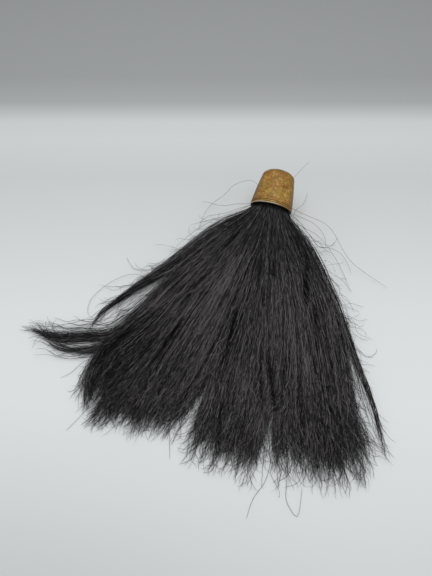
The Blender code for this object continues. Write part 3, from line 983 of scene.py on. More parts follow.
LOCKS = (
    LockShape(
        "far_left_hair", 14, 170, (-86.5, -65.1, -57.5), (-70.0, -57.6, -57.0),
        (((-56.3, 0.240), (-56.1, 0.240)), ((-54.1, 0.260), (-53.9, 0.260))),
        (0.5, 0.4), Ending.POINTED,
    ),
    LockShape(
        "left_curl_upper_hair", 10, 200, (-71.0, -58.0, -50.1), (-62.0, -52.5, -47.2),
        (
            ((-49.6, 0.244), (-48.2, 0.250)),
            ((-53.0, 0.266), (-51.6, 0.271)),
            ((-56.6, 0.292), (-55.5, 0.297)),
            ((-62.1, 0.318), (-61.5, 0.321)),
        ),
        (0.4, 0.2), Ending.CURLED,
    ),
    LockShape(
        "left_curl_lower_hair", 7, 104, (-62.5, -52.5, -47.4), (-55.0, -47.0, -45.8),
        (
            ((-48.1, 0.264), (-47.4, 0.266)),
            ((-50.4, 0.281), (-49.9, 0.283)),
            ((-53.3, 0.295), (-52.6, 0.298)),
            ((-57.2, 0.306), (-56.4, 0.310)),
        ),
        (0.2, 0.2), Ending.CURLED,
    ),
    LockShape(
        "left_lobe_outer_hair", 26, 700, (-56.0, -48.0, -46.2), (-45.0, -40.2, -37.8),
        (
            ((-47.8, 0.258), (-37.4, 0.256)),
            ((-45.0, 0.288), (-37.3, 0.290)),
            ((-40.4, 0.314), (-37.3, 0.317)),
        ),
        (0.1, 0.25), Ending.DENSE,
    ),
    LockShape(
        "left_lobe_upper_hair", 28, 740, (-45.0, -40.2, -37.8), (-35.0, -33.6, -32.6),
        (((-37.4, 0.256), (-31.6, 0.256)), ((-37.3, 0.317), (-30.8, 0.306))),
        (0.25, 0.1), Ending.DENSE,
    ),
    LockShape(
        "left_lobe_lower_hair", 27, 700, (-35.0, -33.6, -32.6), (-26.5, -24.9, -24.8),
        (((-31.6, 0.256), (-25.2, 0.256)), ((-30.8, 0.306), (-25.6, 0.293))),
        (0.1, 0.12), Ending.DENSE,
    ),
    LockShape(
        "left_lobe_inner_hair", 24, 600, (-26.5, -24.9, -24.8), (-18.0, -17.9, -20.1),
        (((-25.2, 0.256), (-21.5, 0.250)), ((-25.6, 0.294), (-22.9, 0.286))),
        (0.12, 0.55),
    ),
    LockShape(
        "centre_lobe_left_hair", 26, 640, (-18.0, -17.9, -19.2), (-10.6, -11.0, -12.2),
        (((-18.8, 0.252), (-12.6, 0.256)), ((-19.3, 0.299), (-14.0, 0.303))),
        (0.55, 0.12),
    ),
    LockShape(
        "centre_lobe_middle_hair", 27, 690, (-10.6, -11.0, -12.2), (-3.6, -4.6, -6.0),
        (((-12.6, 0.256), (-7.8, 0.256)), ((-14.0, 0.303), (-9.8, 0.305))),
        (0.1, 0.35),
    ),
    LockShape(
        "centre_lobe_right_hair", 26, 600, (-3.6, -4.6, -6.0), (3.4, 1.6, -1.4),
        (((-7.8, 0.256), (-4.3, 0.257)), ((-9.8, 0.305), (-6.3, 0.302))),
        (0.35, 0.15),
    ),
    LockShape(
        "right_lobe_left_hair", 26, 680, (3.4, 1.6, -1.0), (15.0, 10.4, 7.0),
        (((-2.5, 0.257), (5.7, 0.256)), ((-2.8, 0.302), (5.2, 0.309))),
        (0.15, 0.1),
    ),
    LockShape(
        "right_lobe_middle_hair", 26, 690, (15.0, 10.4, 7.0), (27.0, 18.6, 13.4),
        (((5.7, 0.256), (11.4, 0.256)), ((5.2, 0.308), (9.6, 0.313))),
        (0.1, 0.35),
    ),
    LockShape(
        "right_lobe_outer_hair", 22, 560, (27.0, 18.6, 13.4), (42.6, 29.0, 19.4),
        (((11.4, 0.256), (15.9, 0.254)), ((9.6, 0.313), (15.0, 0.309))),
        (0.35, 0.2),
    ),
    LockShape(
        "right_wisp_hair", 9, 74, (40.0, 27.0, 22.1), (50.8, 31.9, 23.0),
        (((20.8, 0.252), (21.1, 0.252)), ((17.8, 0.306), (18.0, 0.306))),
        (0.3, 0.4), Ending.POINTED,
    ),
)

VEILS = (
    veil(
        "far_left_veil", 24, (-72.0, -59.0, -56.2), (-62.0, -54.0, -51.0),
        (((-55.4, 0.236), (-50.0, 0.240)), ((-54.9, 0.258), (-50.6, 0.256))),
        "left_curl_upper",
    ),
    veil(
        "curl_upper_veil", 22, (-71.0, -58.0, -53.0), (-62.0, -53.0, -49.0),
        (
            ((-53.6, 0.242), (-50.6, 0.250)),
            ((-57.0, 0.262), (-54.0, 0.268)),
            ((-60.2, 0.285), (-57.6, 0.290)),
            ((-62.4, 0.304), (-60.6, 0.310)),
        ),
        "left_curl_upper",
    ),
    veil(
        "curl_lower_veil", 30, (-62.0, -52.0, -47.6), (-55.0, -47.5, -45.8),
        (
            ((-49.0, 0.262), (-47.0, 0.268)),
            ((-51.4, 0.280), (-49.0, 0.287)),
            ((-54.6, 0.295), (-51.4, 0.303)),
            ((-58.6, 0.311), (-54.6, 0.320)),
        ),
        "left_curl_lower",
    ),
    veil(
        "left_corner_veil", 64, (-56.0, -49.0, -47.4), (-53.0, -46.5, -45.0),
        (
            ((-48.6, 0.258), (-46.0, 0.258)),
            ((-46.7, 0.287), (-43.8, 0.289)),
            ((-43.9, 0.311), (-41.0, 0.315)),
        ),
        "left_lobe_outer",
    ),
    veil(
        "left_notch_veil", 80, (-21.5, -20.6, -21.2), (-17.6, -17.9, -18.6),
        (((-22.0, 0.250), (-18.3, 0.250)), ((-24.0, 0.286), (-19.2, 0.290))),
        "left_lobe_inner",
    ),
    veil(
        "right_notch_veil", 60, (-5.0, -5.0, -5.5), (2.4, 1.6, 0.4),
        (((-5.2, 0.256), (-0.6, 0.256)), ((-5.6, 0.300), (0.6, 0.303))),
        "centre_lobe_right",
    ),
    veil(
        "right_gap_veil", 30, (36.0, 25.0, 18.6), (46.0, 29.8, 22.4),
        (((15.6, 0.250), (21.0, 0.250)), ((14.2, 0.298), (19.0, 0.300))),
        "right_lobe_outer",
    ),
    veil(
        "right_corner_veil", 60, (34.0, 23.0, 16.0), (38.0, 27.0, 19.0),
        (((14.4, 0.258), (16.6, 0.258)), ((14.6, 0.292), (17.4, 0.292)), ((15.0, 0.306), (19.4, 0.306))),
        "right_lobe_outer",
    ),
)


@dataclass(frozen=True)
class Taper:
    """How a hair thins towards its point: its share of full thickness at the shoulder and at the point."""

    shoulder: float
    at_shoulder: float
    at_point: float

    def over(self, rings: int) -> np.ndarray:
        """The share of full thickness at each ring."""
        shares = (1.0, self.at_shoulder, self.at_point)
        return np.interp(np.linspace(0, 1, rings), (0, self.shoulder, 1), shares)


@dataclass
class HairMesh:
    """Closed three-sided hairs in one mesh, each with its own tone and its own strip of the map.

    lines are places by hair, ring and coordinate, and the last ring is the hair's point. radii and tones go
    by hair and ring, the tones from 0 to 1. glint_and_tone_patches say where each hair lies in the pattern of
    painted glints and darker patches. The strip's sizes are shares of the map's square for one hair.
    """

    name: str
    lines: np.ndarray
    radii: np.ndarray
    tones: np.ndarray
    glint_and_tone_patches: np.ndarray
    rng: np.random.Generator
    strip_edges: Span = (0.18, 0.82)
    strip_ends: Span = (0.015, 0.985)
    side_ends: Span = (0.02, 0.94)
    strip_length: float = 4.0

    def __post_init__(self) -> None:
        """Draws how far each hair's corners are turned round it."""
        self.twist = self.rng.uniform(0, TURN, len(self.lines))

    def rings(self) -> np.ndarray:
        """The corners of every ring but the last, by hair, ring, corner and coordinate."""
        ahead = np.gradient(self.lines, axis=1)
        ahead /= np.linalg.norm(ahead, axis=2, keepdims=True) + 1e-12
        side = np.cross(np.array([0.0, 0.0, 1.0]), ahead)
        side /= np.linalg.norm(side, axis=2, keepdims=True) + 1e-9
        over = np.cross(ahead, side)
        angles = self.twist[:, None] + np.arange(3)[None, :] * TURN / 3
        corners = np.cos(angles)[:, None, :, None] * side[:, :-1, None, :]
        corners = corners + np.sin(angles)[:, None, :, None] * over[:, :-1, None, :]
        return self.lines[:, :-1, None, :] + corners * self.radii[:, :-1, None, None]

    def one_hair(self, rings: int) -> tuple[np.ndarray, list[int]]:
        """The corners of one hair's faces.

        Args:
            rings: How many rings it has before its point.

        Returns:
            The vertex and the place in the map's strip at each corner, and each face's number of corners.
        """
        left, right = self.strip_edges
        middle = (left + right) / 2
        bottom, top = self.strip_ends
        along = np.linspace(*self.side_ends, rings)
        corners = [(0, left, bottom), (2, right, bottom), (1, middle, along[0])]
        counts = [3]
        for ring in range(rings - 1):
            for corner, after in ((0, 1), (1, 2), (2, 0)):
                low, high = along[ring], along[ring + 1]
                first = ring * 3
                corners += [(first + corner, left, low), (first + after, right, low)]
                corners += [(first + 3 + after, right, high), (first + 3 + corner, left, high)]
                counts.append(4)
        last = (rings - 1) * 3
        for corner, after in ((0, 1), (1, 2), (2, 0)):
            corners += [(last + corner, left, along[-1]), (last + after, right, along[-1])]
            corners.append((rings * 3, middle, top))
            counts.append(3)
        return np.array(corners), counts

    def faces(self) -> tuple[np.ndarray, np.ndarray, np.ndarray]:
        """The corners of all faces.

        Returns:
            The vertex at each corner, the map's place at each corner and the number of corners of each face.
        """
        hairs, rings = self.lines.shape[0], self.lines.shape[1] - 1
        columns = math.ceil(math.sqrt(hairs * self.strip_length))
        rows = math.ceil(hairs / columns)
        pattern, counts = self.one_hair(rings)
        index = np.arange(hairs)
        vertices = (pattern[None, :, 0] + index[:, None] * (rings * 3 + 1)).astype(np.int32)
        across = (index % columns)[:, None] + pattern[None, :, 1]
        upward = (index // columns)[:, None] + pattern[None, :, 2]
        places = np.stack([across / columns, upward / rows], axis=2)
        return vertices.ravel(), places.reshape(-1, 2), np.tile(counts, hairs)

    def at_corners(self, values: np.ndarray) -> np.ndarray:
        """Values by hair and ring, repeated for the three corners of every ring but the point."""
        return np.concatenate([np.repeat(values[:, :-1], 3, axis=1), values[:, -1:]], axis=1)

    def lays(self) -> np.ndarray:
        """Each vertex's place in its hair's own pattern: which hair it is, and how far along it lies."""
        steps = np.linalg.norm(np.diff(self.lines, axis=1), axis=2)
        along = np.concatenate([np.zeros((len(steps), 1)), np.cumsum(steps, axis=1)], axis=1)
        along = self.at_corners(along)
        which = np.repeat(self.glint_and_tone_patches[:, None], along.shape[1], axis=1)
        return np.stack([which, along, np.zeros_like(along)], axis=2)

    def build(self) -> bpy.types.Object:
        """Makes the mesh and its object."""
        rings = self.rings().reshape(len(self.lines), -1, 3)
        places = np.concatenate([rings, self.lines[:, -1:, :]], axis=1)
        places[:, :, 2] = np.maximum(places[:, :, 2], ABOVE_TABLE)
        vertices, uv, counts = self.faces()
        mesh = bpy.data.meshes.new(self.name)
        mesh.vertices.add(places.shape[0] * places.shape[1])
        mesh.vertices.foreach_set("co", places.astype(np.float32).ravel())
        mesh.loops.add(len(vertices))
        mesh.loops.foreach_set("vertex_index", vertices)
        mesh.polygons.add(len(counts))
        starts = np.concatenate([[0], np.cumsum(counts)[:-1]]).astype(np.int32)
        mesh.polygons.foreach_set("loop_start", starts)
        mesh.polygons.foreach_set("use_smooth", np.ones(len(counts), dtype=bool))
        mesh.update(calc_edges=True)
        mesh.validate()
        layer = mesh.uv_layers.new(name=MAP_NAME)
        layer.data.foreach_set("uv", uv.astype(np.float32).ravel())
        tone = mesh.attributes.new("tone", "FLOAT", "POINT")
        tone.data.foreach_set("value", self.at_corners(self.tones).astype(np.float32).ravel())
        lay = mesh.attributes.new("lay", "FLOAT_VECTOR", "POINT")
        lay.data.foreach_set("vector", self.lays().astype(np.float32).ravel())
        piece = bpy.data.objects.new(self.name, mesh)
        bpy.context.scene.collection.objects.link(piece)
        return piece

    def lay_down(self, dress: Shade, node: str) -> bpy.types.Object:
        """Builds the piece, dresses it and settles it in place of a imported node."""
        piece = self.build()
        dress.wear(piece)
        settle(piece, "horsehair", node)
        return piece


class Curves:
    """Smooth curves through knots, one for each hair."""

    def __init__(self, knots: np.ndarray) -> None:
        """Takes the knots, by hair, knot and coordinate."""
        self.knots = knots
        self.legs = np.linalg.norm(np.diff(knots, axis=1), axis=2) + 1e-9
        start = np.zeros((len(knots), 1))
        self.at = np.concatenate([start, np.cumsum(self.legs, axis=1)], axis=1)
        slopes = np.diff(knots, axis=1) / self.legs[:, :, None]
        weight = (self.legs[:, 1:] / (self.legs[:, :-1] + self.legs[:, 1:]))[:, :, None]
        self.tangents = np.empty_like(knots)
        self.tangents[:, 1:-1] = slopes[:, :-1] * weight + slopes[:, 1:] * (1 - weight)
        self.tangents[:, 0] = slopes[:, 0]
        self.tangents[:, -1] = slopes[:, -1]

    @property
    def length(self) -> np.ndarray:
        """Each curve's length, knot to knot."""
        return self.at[:, -1]

    def read(self, where: np.ndarray) -> np.ndarray:
        """Places on the curves.

        Args:
            where: Distances along each curve, by hair and ring.

        Returns:
            Places by hair, ring and coordinate.
        """
        leg = (where[:, :, None] >= self.at[:, None, 1:-1]).sum(axis=2)
        rows = np.arange(len(self.knots))[:, None]
        span = self.legs[rows, leg]
        t = ((where - self.at[rows, leg]) / span)[:, :, None]
        span = span[:, :, None]
        first, second = self.knots[rows, leg], self.knots[rows, leg + 1]
        out, into = self.tangents[rows, leg] * span, self.tangents[rows, leg + 1] * span
        return (
            (2 * t**3 - 3 * t**2 + 1) * first
            + (t**3 - 2 * t**2 + t) * out
            + (3 * t**2 - 2 * t**3) * second
            + (t**3 - t**2) * into
        )


@dataclass
class Furrows:
    """The short furrows inside one lock: where they lie across it, from -1 to 1, and along its stations."""

    seed: int
    stations: int
    count: int = 4
    outermost: float = 0.85
    half_widths: Span = (0.05, 0.10)
    lengths: Span = (0.8, 2.0)
    deepest: float = 0.95
    slope: float = 1.5

    def __post_init__(self) -> None:
        """Draws where the furrows lie, how wide they are and how they come and go along the lock."""
        rng = np.random.default_rng(self.seed)
        self.places = rng.uniform(-self.outermost, self.outermost, self.count)
        self.widths = rng.uniform(*self.half_widths, self.count)
        middle = rng.uniform(1.0, self.stations, self.count)
        length = rng.uniform(*self.lengths, self.count)
        steps = (np.arange(self.stations)[None, :] - middle[:, None]) / length[:, None]
        self.depths = self.deepest * np.exp(-(steps**2))

    def hollow(self, across: np.ndarray, station: int) -> np.ndarray:
        """How deep in a furrow a place across the lock lies, from 0 to 1."""
        off = (across[:, None] - self.places) / (self.slope * self.widths)
        return (np.exp(-(off**2)) * self.depths[:, station]).max(axis=1)

    def parted(self, across: np.ndarray, station: int) -> np.ndarray:
        """Moves hairs out of the furrows."""
        off = across[:, None] - self.places
        push = np.sign(off) * self.widths * self.depths[:, station]
        return across + (push * np.exp(-((off / self.widths) ** 2))).sum(axis=1)


@dataclass(frozen=True)
class StrandSizes:
    """How a lock's hairs gather in strands.

    The radius of a strand is in metres. Drifts are shares of the lock's half width and height from one
    station to the next. A crowding below 1 puts more hairs near the top.
    """

    hairs_each: int = 3
    fewest: int = 8
    radius: float = 0.00030
    farthest: float = 2.0
    widest: float = 0.6
    tallest: float = 0.35
    drift: float = 0.060
    hair_drift: float = 0.010
    free: float = 0.24
    free_drift: float = 0.075
    rise: float = 0.6
    crowding_up: float = 0.8
    free_crowding_up: float = 0.7
    folding_back: float = 0.6
    overlap: float = 1.05
    loosening: ByStation = (0.35, 0.8, 1.0)


@dataclass(frozen=True)
class WaveSizes:
    """The waves in a hair: slow ones along all of it, and close kinks towards its end.

    Each wave is its length in metres and its share of the slow or the kinked height.
    """

    slow: float = 0.0007
    slow_waves: tuple[Span, ...] = ((0.160, 1.3), (0.080, 0.9), (0.040, 0.7))
    kink: float = 0.0016
    kinks: tuple[Span, ...] = ((0.032, 1.0), (0.018, 0.6))
    kinked_end: float = 0.085
    straight: float = 0.01
    growing: float = 0.06
    strengths: Span = (0.5, 1.3)
    paces: Span = (0.75, 1.3)
    ways: Place = (1.0, 1.0, 0.55)
    unruly: float = 0.12
    unruly_strength: float = 2.6


@dataclass(frozen=True)
class TurnSizes:
    """How the last stretch of a hair turns away from its neighbours."""

    length: float = 0.026
    lengths: Span = (0.6, 1.6)
    shares: tuple[float, float, float] = (0.50, 0.34, 0.16)
    growth: float = 1.3
    rise: float = 0.0016


@dataclass(frozen=True)
class ToneSizes:
    """The tones of a lock's hairs, from 0 to 1, and the painted shade that darkens them.

    calm is how much of their differences the hairs keep at the mouth, and it ends between two distances.
    """

    common: float = 0.49
    spread: float = 0.13
    lighter: float = 0.85
    rarity: float = 2.6
    buried_shade: float = 0.30
    furrow_shade: float = 0.40
    parting_shade: float = 0.70
    middle: float = 0.65
    calm: float = 0.45
    calm_from: float = 0.02
    calm_to: float = 0.13


@dataclass
class HairLock:
    """Builds one lock: strands of hairs that run from the glue bed through the mouth and over the table.

    Its station 0 is the mouth, and the fan's stations and the lock's own ribs follow it. Shares across the
    lock go from -1 to 1, and shares up it from 0 to 1.
    """

    seat: CapSeat
    shape: LockShape
    node: str
    slice_edges: Span
    seed: int
    fan: FanShape = field(default_factory=FanShape)
    strand: StrandSizes = field(default_factory=StrandSizes)
    wave: WaveSizes = field(default_factory=WaveSizes)
    turn: TurnSizes = field(default_factory=TurnSizes)
    tone: ToneSizes = field(default_factory=ToneSizes)
    thickness: Span = (0.00030, 0.00052)
    taper: Taper = Taper(0.85, 1.0, 0.7)
    rings_along: int = 20
    rings_at_end: int = 17
    ring_drift: float = 0.3
    end_length: float = 0.072
    least_body: float = 0.03
    shortest: float = -0.24
    tufts: int = 7
    tuft_spread: float = 0.0026
    tuft_margin: float = 0.01
    edge_depths: ByStation = (0.3, 0.7, 1.0)
    furrow_depth: float = 0.35
    parting_push: float = 0.75
    parting_depth: float = 0.4
    furrow_seeds: int = 1000

    def __post_init__(self) -> None:
        """Lays out the furrows between the lock's bigger strands."""
        self.furrows = Furrows(self.seed + self.furrow_seeds, len(self.widths()))

    @property
    def kind(self) -> HairKind:
        """How this lock's hairs end."""
        return KINDS[self.shape.ending]

    @property
    def middle(self) -> np.ndarray:
        """The place on the table that bearings and distances are measured from."""
        return np.array(self.seat.ground)[:2]

    def polar_of(self, places: np.ndarray) -> tuple[np.ndarray, np.ndarray]:
        """Bearings and distances of places."""
        off = places[..., :2] - self.middle
        return np.degrees(np.arctan2(off[..., 0], -off[..., 1])), np.hypot(off[..., 0], off[..., 1])

    def edges(self) -> tuple[np.ndarray, np.ndarray]:
        """The lock's left and right edge on the table, by station."""
        left = list(zip(self.shape.left, self.fan.stations)) + [rib[0] for rib in self.shape.ribs]
        right = list(zip(self.shape.right, self.fan.stations)) + [rib[1] for rib in self.shape.ribs]
        return on_table(*np.array(left).T) + self.middle, on_table(*np.array(right).T) + self.middle

    def tops(self) -> np.ndarray:
        """The height of the lock's top, by station."""
        ribs = np.linspace(self.fan.rib_top, self.fan.tip_top, len(self.shape.ribs))
        return np.concatenate([self.fan.tops, ribs])

    def widths(self) -> np.ndarray:
        """The lock's width at the mouth and at every station."""
        left, right = self.edges()
        low, high = self.slice_edges
        return np.concatenate([[(high - low) * self.fan.bore], np.linalg.norm(right - left, axis=1)])

    def falloff(self, across: np.ndarray, station: int) -> np.ndarray:
        """How much of its height the lock keeps at a place across it, less beside its partings."""
        left, right = self.shape.partings
        depth = np.where(across < 0, left, right) * self.edge_depths[min(station, 2)]
        return 1 - depth * np.minimum(np.abs(across), 1.0) ** 3

    def mound(self, flat: np.ndarray, station: int) -> np.ndarray:
        """How much lower the whole tuft lies at its sides than in its middle."""
        bearing, _ = self.polar_of(flat)
        side = np.clip(np.abs(bearing - self.fan.middle_bearing) / self.fan.half_spread, 0, 1)
        flattened = (*self.fan.flattened, self.fan.flattened_ends)[min(station, len(self.fan.flattened))]
        return 1 - flattened * side**2

    def root_places(
        self, across: np.ndarray, up: np.ndarray, scale: float, depth: float, flare: float = 0.0
    ) -> np.ndarray:
        """Places in the round root.

        Args:
            across: Share across the lock's slice.
            up: Share of the height.
            scale: The root's radius there.
            depth: How far it lies inside the mouth, or in front of it where negative.
            flare: How much wider its two sides spread.

        Returns:
            Places by hair and coordinate.
        """
        low, high = self.slice_edges
        edge = self.fan.root_edge
        x = np.clip(low + (high - low) * (across + 1) / 2, -edge, edge)
        y = (2 * up - 1) * np.sqrt(1 - x**2)
        x = x * (1 + flare * np.abs(x) ** 3)
        seat = self.seat
        mouth, right, rise, axis = (np.array(v) for v in (seat.mouth, seat.across, seat.upward, seat.axis))
        return mouth + scale * (x[:, None] * right + y[:, None] * rise) + depth * axis

    def strands(self, rng: np.random.Generator) -> tuple[np.ndarray, np.ndarray, np.ndarray]:
        """Where each hair lies in the lock at every station.

        Args:
            rng: The lock's random numbers.

        Returns:
            Shares across and up by hair and station, and each hair's strand, -1 for a hair that runs free.
        """
        size = self.strand
        hairs, stations = self.shape.hairs, len(self.widths())
        count = max(size.fewest, hairs // size.hairs_each)
        order = np.arange(count)
        across = ((order * GOLDEN_STEP) % 1.0) * 2 - 1
        up = ((order + 0.5) / count) ** size.crowding_up
        walk = np.cumsum(rng.normal(0, size.drift, (count, stations, 2)), axis=1)
        strand = rng.integers(0, count, hairs)
        alone = rng.random(hairs) < size.free
        drift = np.where(alone, size.free_drift, size.hair_drift)[:, None, None]
        own = np.cumsum(rng.normal(0, 1.0, (hairs, stations, 2)) * drift, axis=1)
        angle = rng.uniform(0, TURN, hairs)
        reach = np.abs(rng.normal(0, 1, hairs)).clip(0, size.farthest)
        tops = np.concatenate([[2 * self.fan.bore * self.fan.bore_filled], self.tops()])
        share = np.minimum(size.radius / np.maximum(self.widths() / 2, 1e-4), size.widest)
        lift = np.minimum(size.radius / tops, size.tallest)
        held_a = across[strand, None] + walk[strand, :, 0] + (reach * np.cos(angle))[:, None] * share
        held_h = up[strand, None] + walk[strand, :, 1] * size.rise + (reach * np.sin(angle))[:, None] * lift
        a = np.where(alone[:, None], rng.uniform(-1, 1, hairs)[:, None], held_a) + own[:, :, 0]
        free_h = rng.random(hairs)[:, None] ** size.free_crowding_up
        h = np.where(alone[:, None], free_h, held_h) + own[:, :, 1] * size.rise
        a = np.where(np.abs(a) > 1, np.sign(a) * (1 - (np.abs(a) - 1) * size.folding_back), a)
        a = a.clip(-1.0, 1.0) * size.overlap
        h = np.where(h > 1, 2 - h, h)
        return self.loosen(rng, a), np.abs(h).clip(0.0, 1.0), np.where(alone, -1, strand)

    def loosen(self, rng: np.random.Generator, a: np.ndarray) -> np.ndarray:
        """Lets a few hairs lie outside the lock's edges, further out towards its end."""
        hairs, stations = a.shape
        out = rng.random(hairs) < self.kind.loose
        reach = rng.exponential(max(self.kind.loose_reach, 1e-6), hairs)
        grown = np.interp(np.arange(stations), (0, 1, 3, stations - 1), (0.0, *self.strand.loosening))
        side = np.sign(rng.random(hairs) - 0.5)
        beyond = side[:, None] * (1 + reach[:, None] * grown[None, :] / (self.widths() / 2))
        return np.where(out[:, None], a * (1 - grown) + beyond * grown, a)

    def knots(self, a: np.ndarray, h: np.ndarray) -> np.ndarray:
        """The places that each hair passes through outside the mouth, the last of them past the lock's end.

        Args:
            a: Share across by hair and station.
            h: Share up by hair and station.

        Returns:
            Places by hair, knot and coordinate.
        """
        fan = self.fan
        left, right = self.edges()
        places = [
            self.root_places(a[:, 0], h[:, 0], fan.bore, 0.0),
            self.root_places(a[:, 0], h[:, 0], fan.bore * fan.widening, -fan.leaving, fan.side_widening),
        ]
        for station, top in enumerate(self.tops()):
            drawn = a[:, station + 1]
            across = self.furrows.parted(drawn, station + 1)
            flat = left[station] + (right[station] - left[station]) * ((across + 1) / 2)[:, None]
            lowered = 1 - self.furrow_depth * self.furrows.hollow(drawn, station + 1)
            height = top * h[:, station + 1] * self.falloff(across, station)
            height = height * self.mound(flat, station) * lowered
            places.append(np.concatenate([flat, height[:, None]], axis=1))
        heading = places[-1] - places[-2]
        heading /= np.linalg.norm(heading, axis=1, keepdims=True)
        places.append(places[-1] + heading * fan.past_end)
        knots = np.stack(places, axis=1)
        knots[:, :, 2] = np.maximum(knots[:, :, 2], fan.lowest)
        return knots

    def ends(self, rng: np.random.Generator, a: np.ndarray) -> np.ndarray:
        """How far past the lock's end each hair ends, or before it where negative."""
        shares, reaches = np.array(self.kind.ends).T
        across = (a[:, -1] / self.strand.overlap + 1) / 2
        tuft = (across * (self.tufts - self.tuft_margin)).clip(0, self.tufts - 1).astype(int)
        shared = rng.normal(0, self.tuft_spread, self.tufts)[tuft]
        if self.shape.ending in (Ending.CUT, Ending.DENSE):
            (left, _), (right, _) = self.shape.ribs[-1]
            shared = shared + np.interp(left + (right - left) * (a[:, -1] + 1) / 2, *np.array(FRINGE).T)
        longest = self.fan.past_end * self.fan.past_end_used
        return (np.interp(rng.random(len(a)), shares, reaches) + shared).clip(self.shortest, longest)

    def lines(self, rng: np.random.Generator, a: np.ndarray, h: np.ndarray) -> np.ndarray:
        """The hairs' middle lines, root and all.

        Args:
            rng: The lock's random numbers.
            a: Share across by hair and station.
            h: Share up by hair and station.

        Returns:
            Places by hair, ring and coordinate.
        """
        fan = self.fan
        curves = Curves(self.knots(a, h))
        length = curves.length - fan.past_end + self.ends(rng, a)
        length = np.maximum(length, self.end_length + self.least_body)
        body = length - self.end_length
        along = body[:, None] * np.linspace(0, 1, self.rings_along)[None, :]
        step = body / (self.rings_along - 1)
        shift = rng.uniform(-self.ring_drift, self.ring_drift, (len(a), self.rings_along - 3))
        along[:, 2:-1] += step[:, None] * shift
        tail = body[:, None] + self.end_length * np.linspace(0, 1, self.rings_at_end + 1)[None, 1:]
        where = np.concatenate([along, tail], axis=1)
        lines = self.combed(curves.read(where)) + self.waves(rng, where, length)
        lines = self.turned(rng, where, length, lines)
        back = self.root_places(a[:, 0], h[:, 0], fan.neck, fan.back_depth)
        neck = self.root_places(a[:, 0], h[:, 0], fan.neck, fan.neck_depth)
        return np.concatenate([back[:, None], neck[:, None], lines], axis=1)

    def combed(self, lines: np.ndarray) -> np.ndarray:
        """Moves hairs out of the tuft's partings, and lowers those that stay in them."""
        bearing, distance = self.polar_of(lines)
        angle = np.radians(bearing)
        right = np.stack([np.cos(angle), np.sin(angle), np.zeros_like(angle)], axis=-1)
        moved = lines.copy()
        for parting in PARTINGS:
            share, aside = parting.reading(bearing, distance)
            push = np.sign(aside) * parting.half_width * self.parting_push * parting.depth * share
            moved += right * push[..., None]
            moved[..., 2] *= 1 - self.parting_depth * parting.depth * share
        return moved

    def shadowed(self, lines: np.ndarray) -> np.ndarray:
        """How much darker than its own tone each hair is along its length, in a parting or a band."""
        bearing, distance = self.polar_of(lines)
        furrows, bands = (
            sum(each.depth * each.reading(bearing, distance)[0] for each in group)
            for group in (PARTINGS, BANDS)
        )
        return self.tone.parting_shade * furrows + bands

    def waves(self, rng: np.random.Generator, where: np.ndarray, length: np.ndarray) -> np.ndarray:
        """The waves in each hair: slow ones along it, none at the mouth, and close kinks towards its end."""
        size = self.wave
        hairs = len(where)
        moved = np.zeros((*where.shape, 3))
        wild = np.where(rng.random(hairs) < size.unruly, size.unruly_strength, 1.0)
        wild = wild * rng.uniform(*size.strengths, hairs) * self.kind.waviness
        calm = np.clip((where - size.straight) / size.growing, 0, 1)
        kinked = np.clip(1 - (length[:, None] - where) / size.kinked_end, 0, 1)
        parts = [(spacing, size.slow * share, calm) for spacing, share in size.slow_waves]
        parts += [(spacing, size.kink * share, kinked) for spacing, share in size.kinks]
        for spacing, amount, shown in parts:
            phase = rng.uniform(0, TURN, (hairs, 3))
            pace = rng.uniform(*size.paces, (hairs, 3)) / spacing
            swing = rng.normal(0, amount, (hairs, 3)) * np.array(size.ways) * wild[:, None]
            wave = np.sin(TURN * pace[:, None] * where[:, :, None] + phase[:, None])
            moved += swing[:, None] * wave * shown[:, :, None]
        return moved

    def turned(
        self, rng: np.random.Generator, where: np.ndarray, length: np.ndarray, lines: np.ndarray
    ) -> np.ndarray:
        """Turns the last stretch of each hair away from its neighbours.

        Args:
            rng: The lock's random numbers.
            where: Distances along each hair, by hair and ring.
            length: Each hair's length.
            lines: Places by hair, ring and coordinate.

        Returns:
            The turned places.
        """
        size = self.turn
        hairs = len(where)
        spread = rng.choice(self.kind.turns, hairs, p=size.shares)
        angle = np.radians(rng.normal(0, spread))
        reach = size.length * rng.uniform(*size.lengths, hairs)
        share = np.clip(1 - (length[:, None] - where) / reach[:, None], 0, 1) ** size.growth
        turn = angle[:, None] * share
        steps = np.diff(lines, axis=1)
        middle = (turn[:, 1:] + turn[:, :-1]) / 2
        across = steps[:, :, 0] * np.cos(middle) - steps[:, :, 1] * np.sin(middle)
        ahead = steps[:, :, 0] * np.sin(middle) + steps[:, :, 1] * np.cos(middle)
        rise = steps[:, :, 2] + np.diff(share, axis=1) * np.abs(rng.normal(0, size.rise, hairs))[:, None]
        moved = np.cumsum(np.stack([across, ahead, rise], axis=2), axis=1)
        return np.concatenate([lines[:, :1], lines[:, :1] + moved], axis=1)

    def own_tones(
        self, rng: np.random.Generator, a: np.ndarray, h: np.ndarray, strand: np.ndarray
    ) -> np.ndarray:
        """Each hair's own tone: alike within a strand, and darker with painted shade deep in the lock and in
        its furrows.
        """
        size = self.tone
        hairs = len(strand)
        shared = rng.normal(0.0, size.spread, strand.max() + 2)[strand]
        shared = np.where(strand < 0, rng.normal(0, size.spread, hairs), shared)
        own = size.common + shared + size.lighter * rng.random(hairs) ** size.rarity
        # Painted shade: hairs deep in the lock and in its furrows are darker.
        own = own - size.buried_shade * (1 - h[:, 2:].mean(axis=1))
        sunk = [self.furrows.hollow(a[:, station], station) for station in range(1, a.shape[1])]
        return (own - size.furrow_shade * np.mean(sunk, axis=0)).clip(0.0, 1.0)

    def tones_along(self, own: np.ndarray, lines: np.ndarray) -> np.ndarray:
        """The tones by hair and ring: nearer to each other at the mouth, with painted shade in the partings
        and painted shade and light in the bands.
        """
        size = self.tone
        _, distance = self.polar_of(lines)
        calm = np.interp(distance, (size.calm_from, size.calm_to), (size.calm, 1.0))
        return (size.middle + (own[:, None] - size.middle) * calm - self.shadowed(lines)).clip(0.0, 1.0)

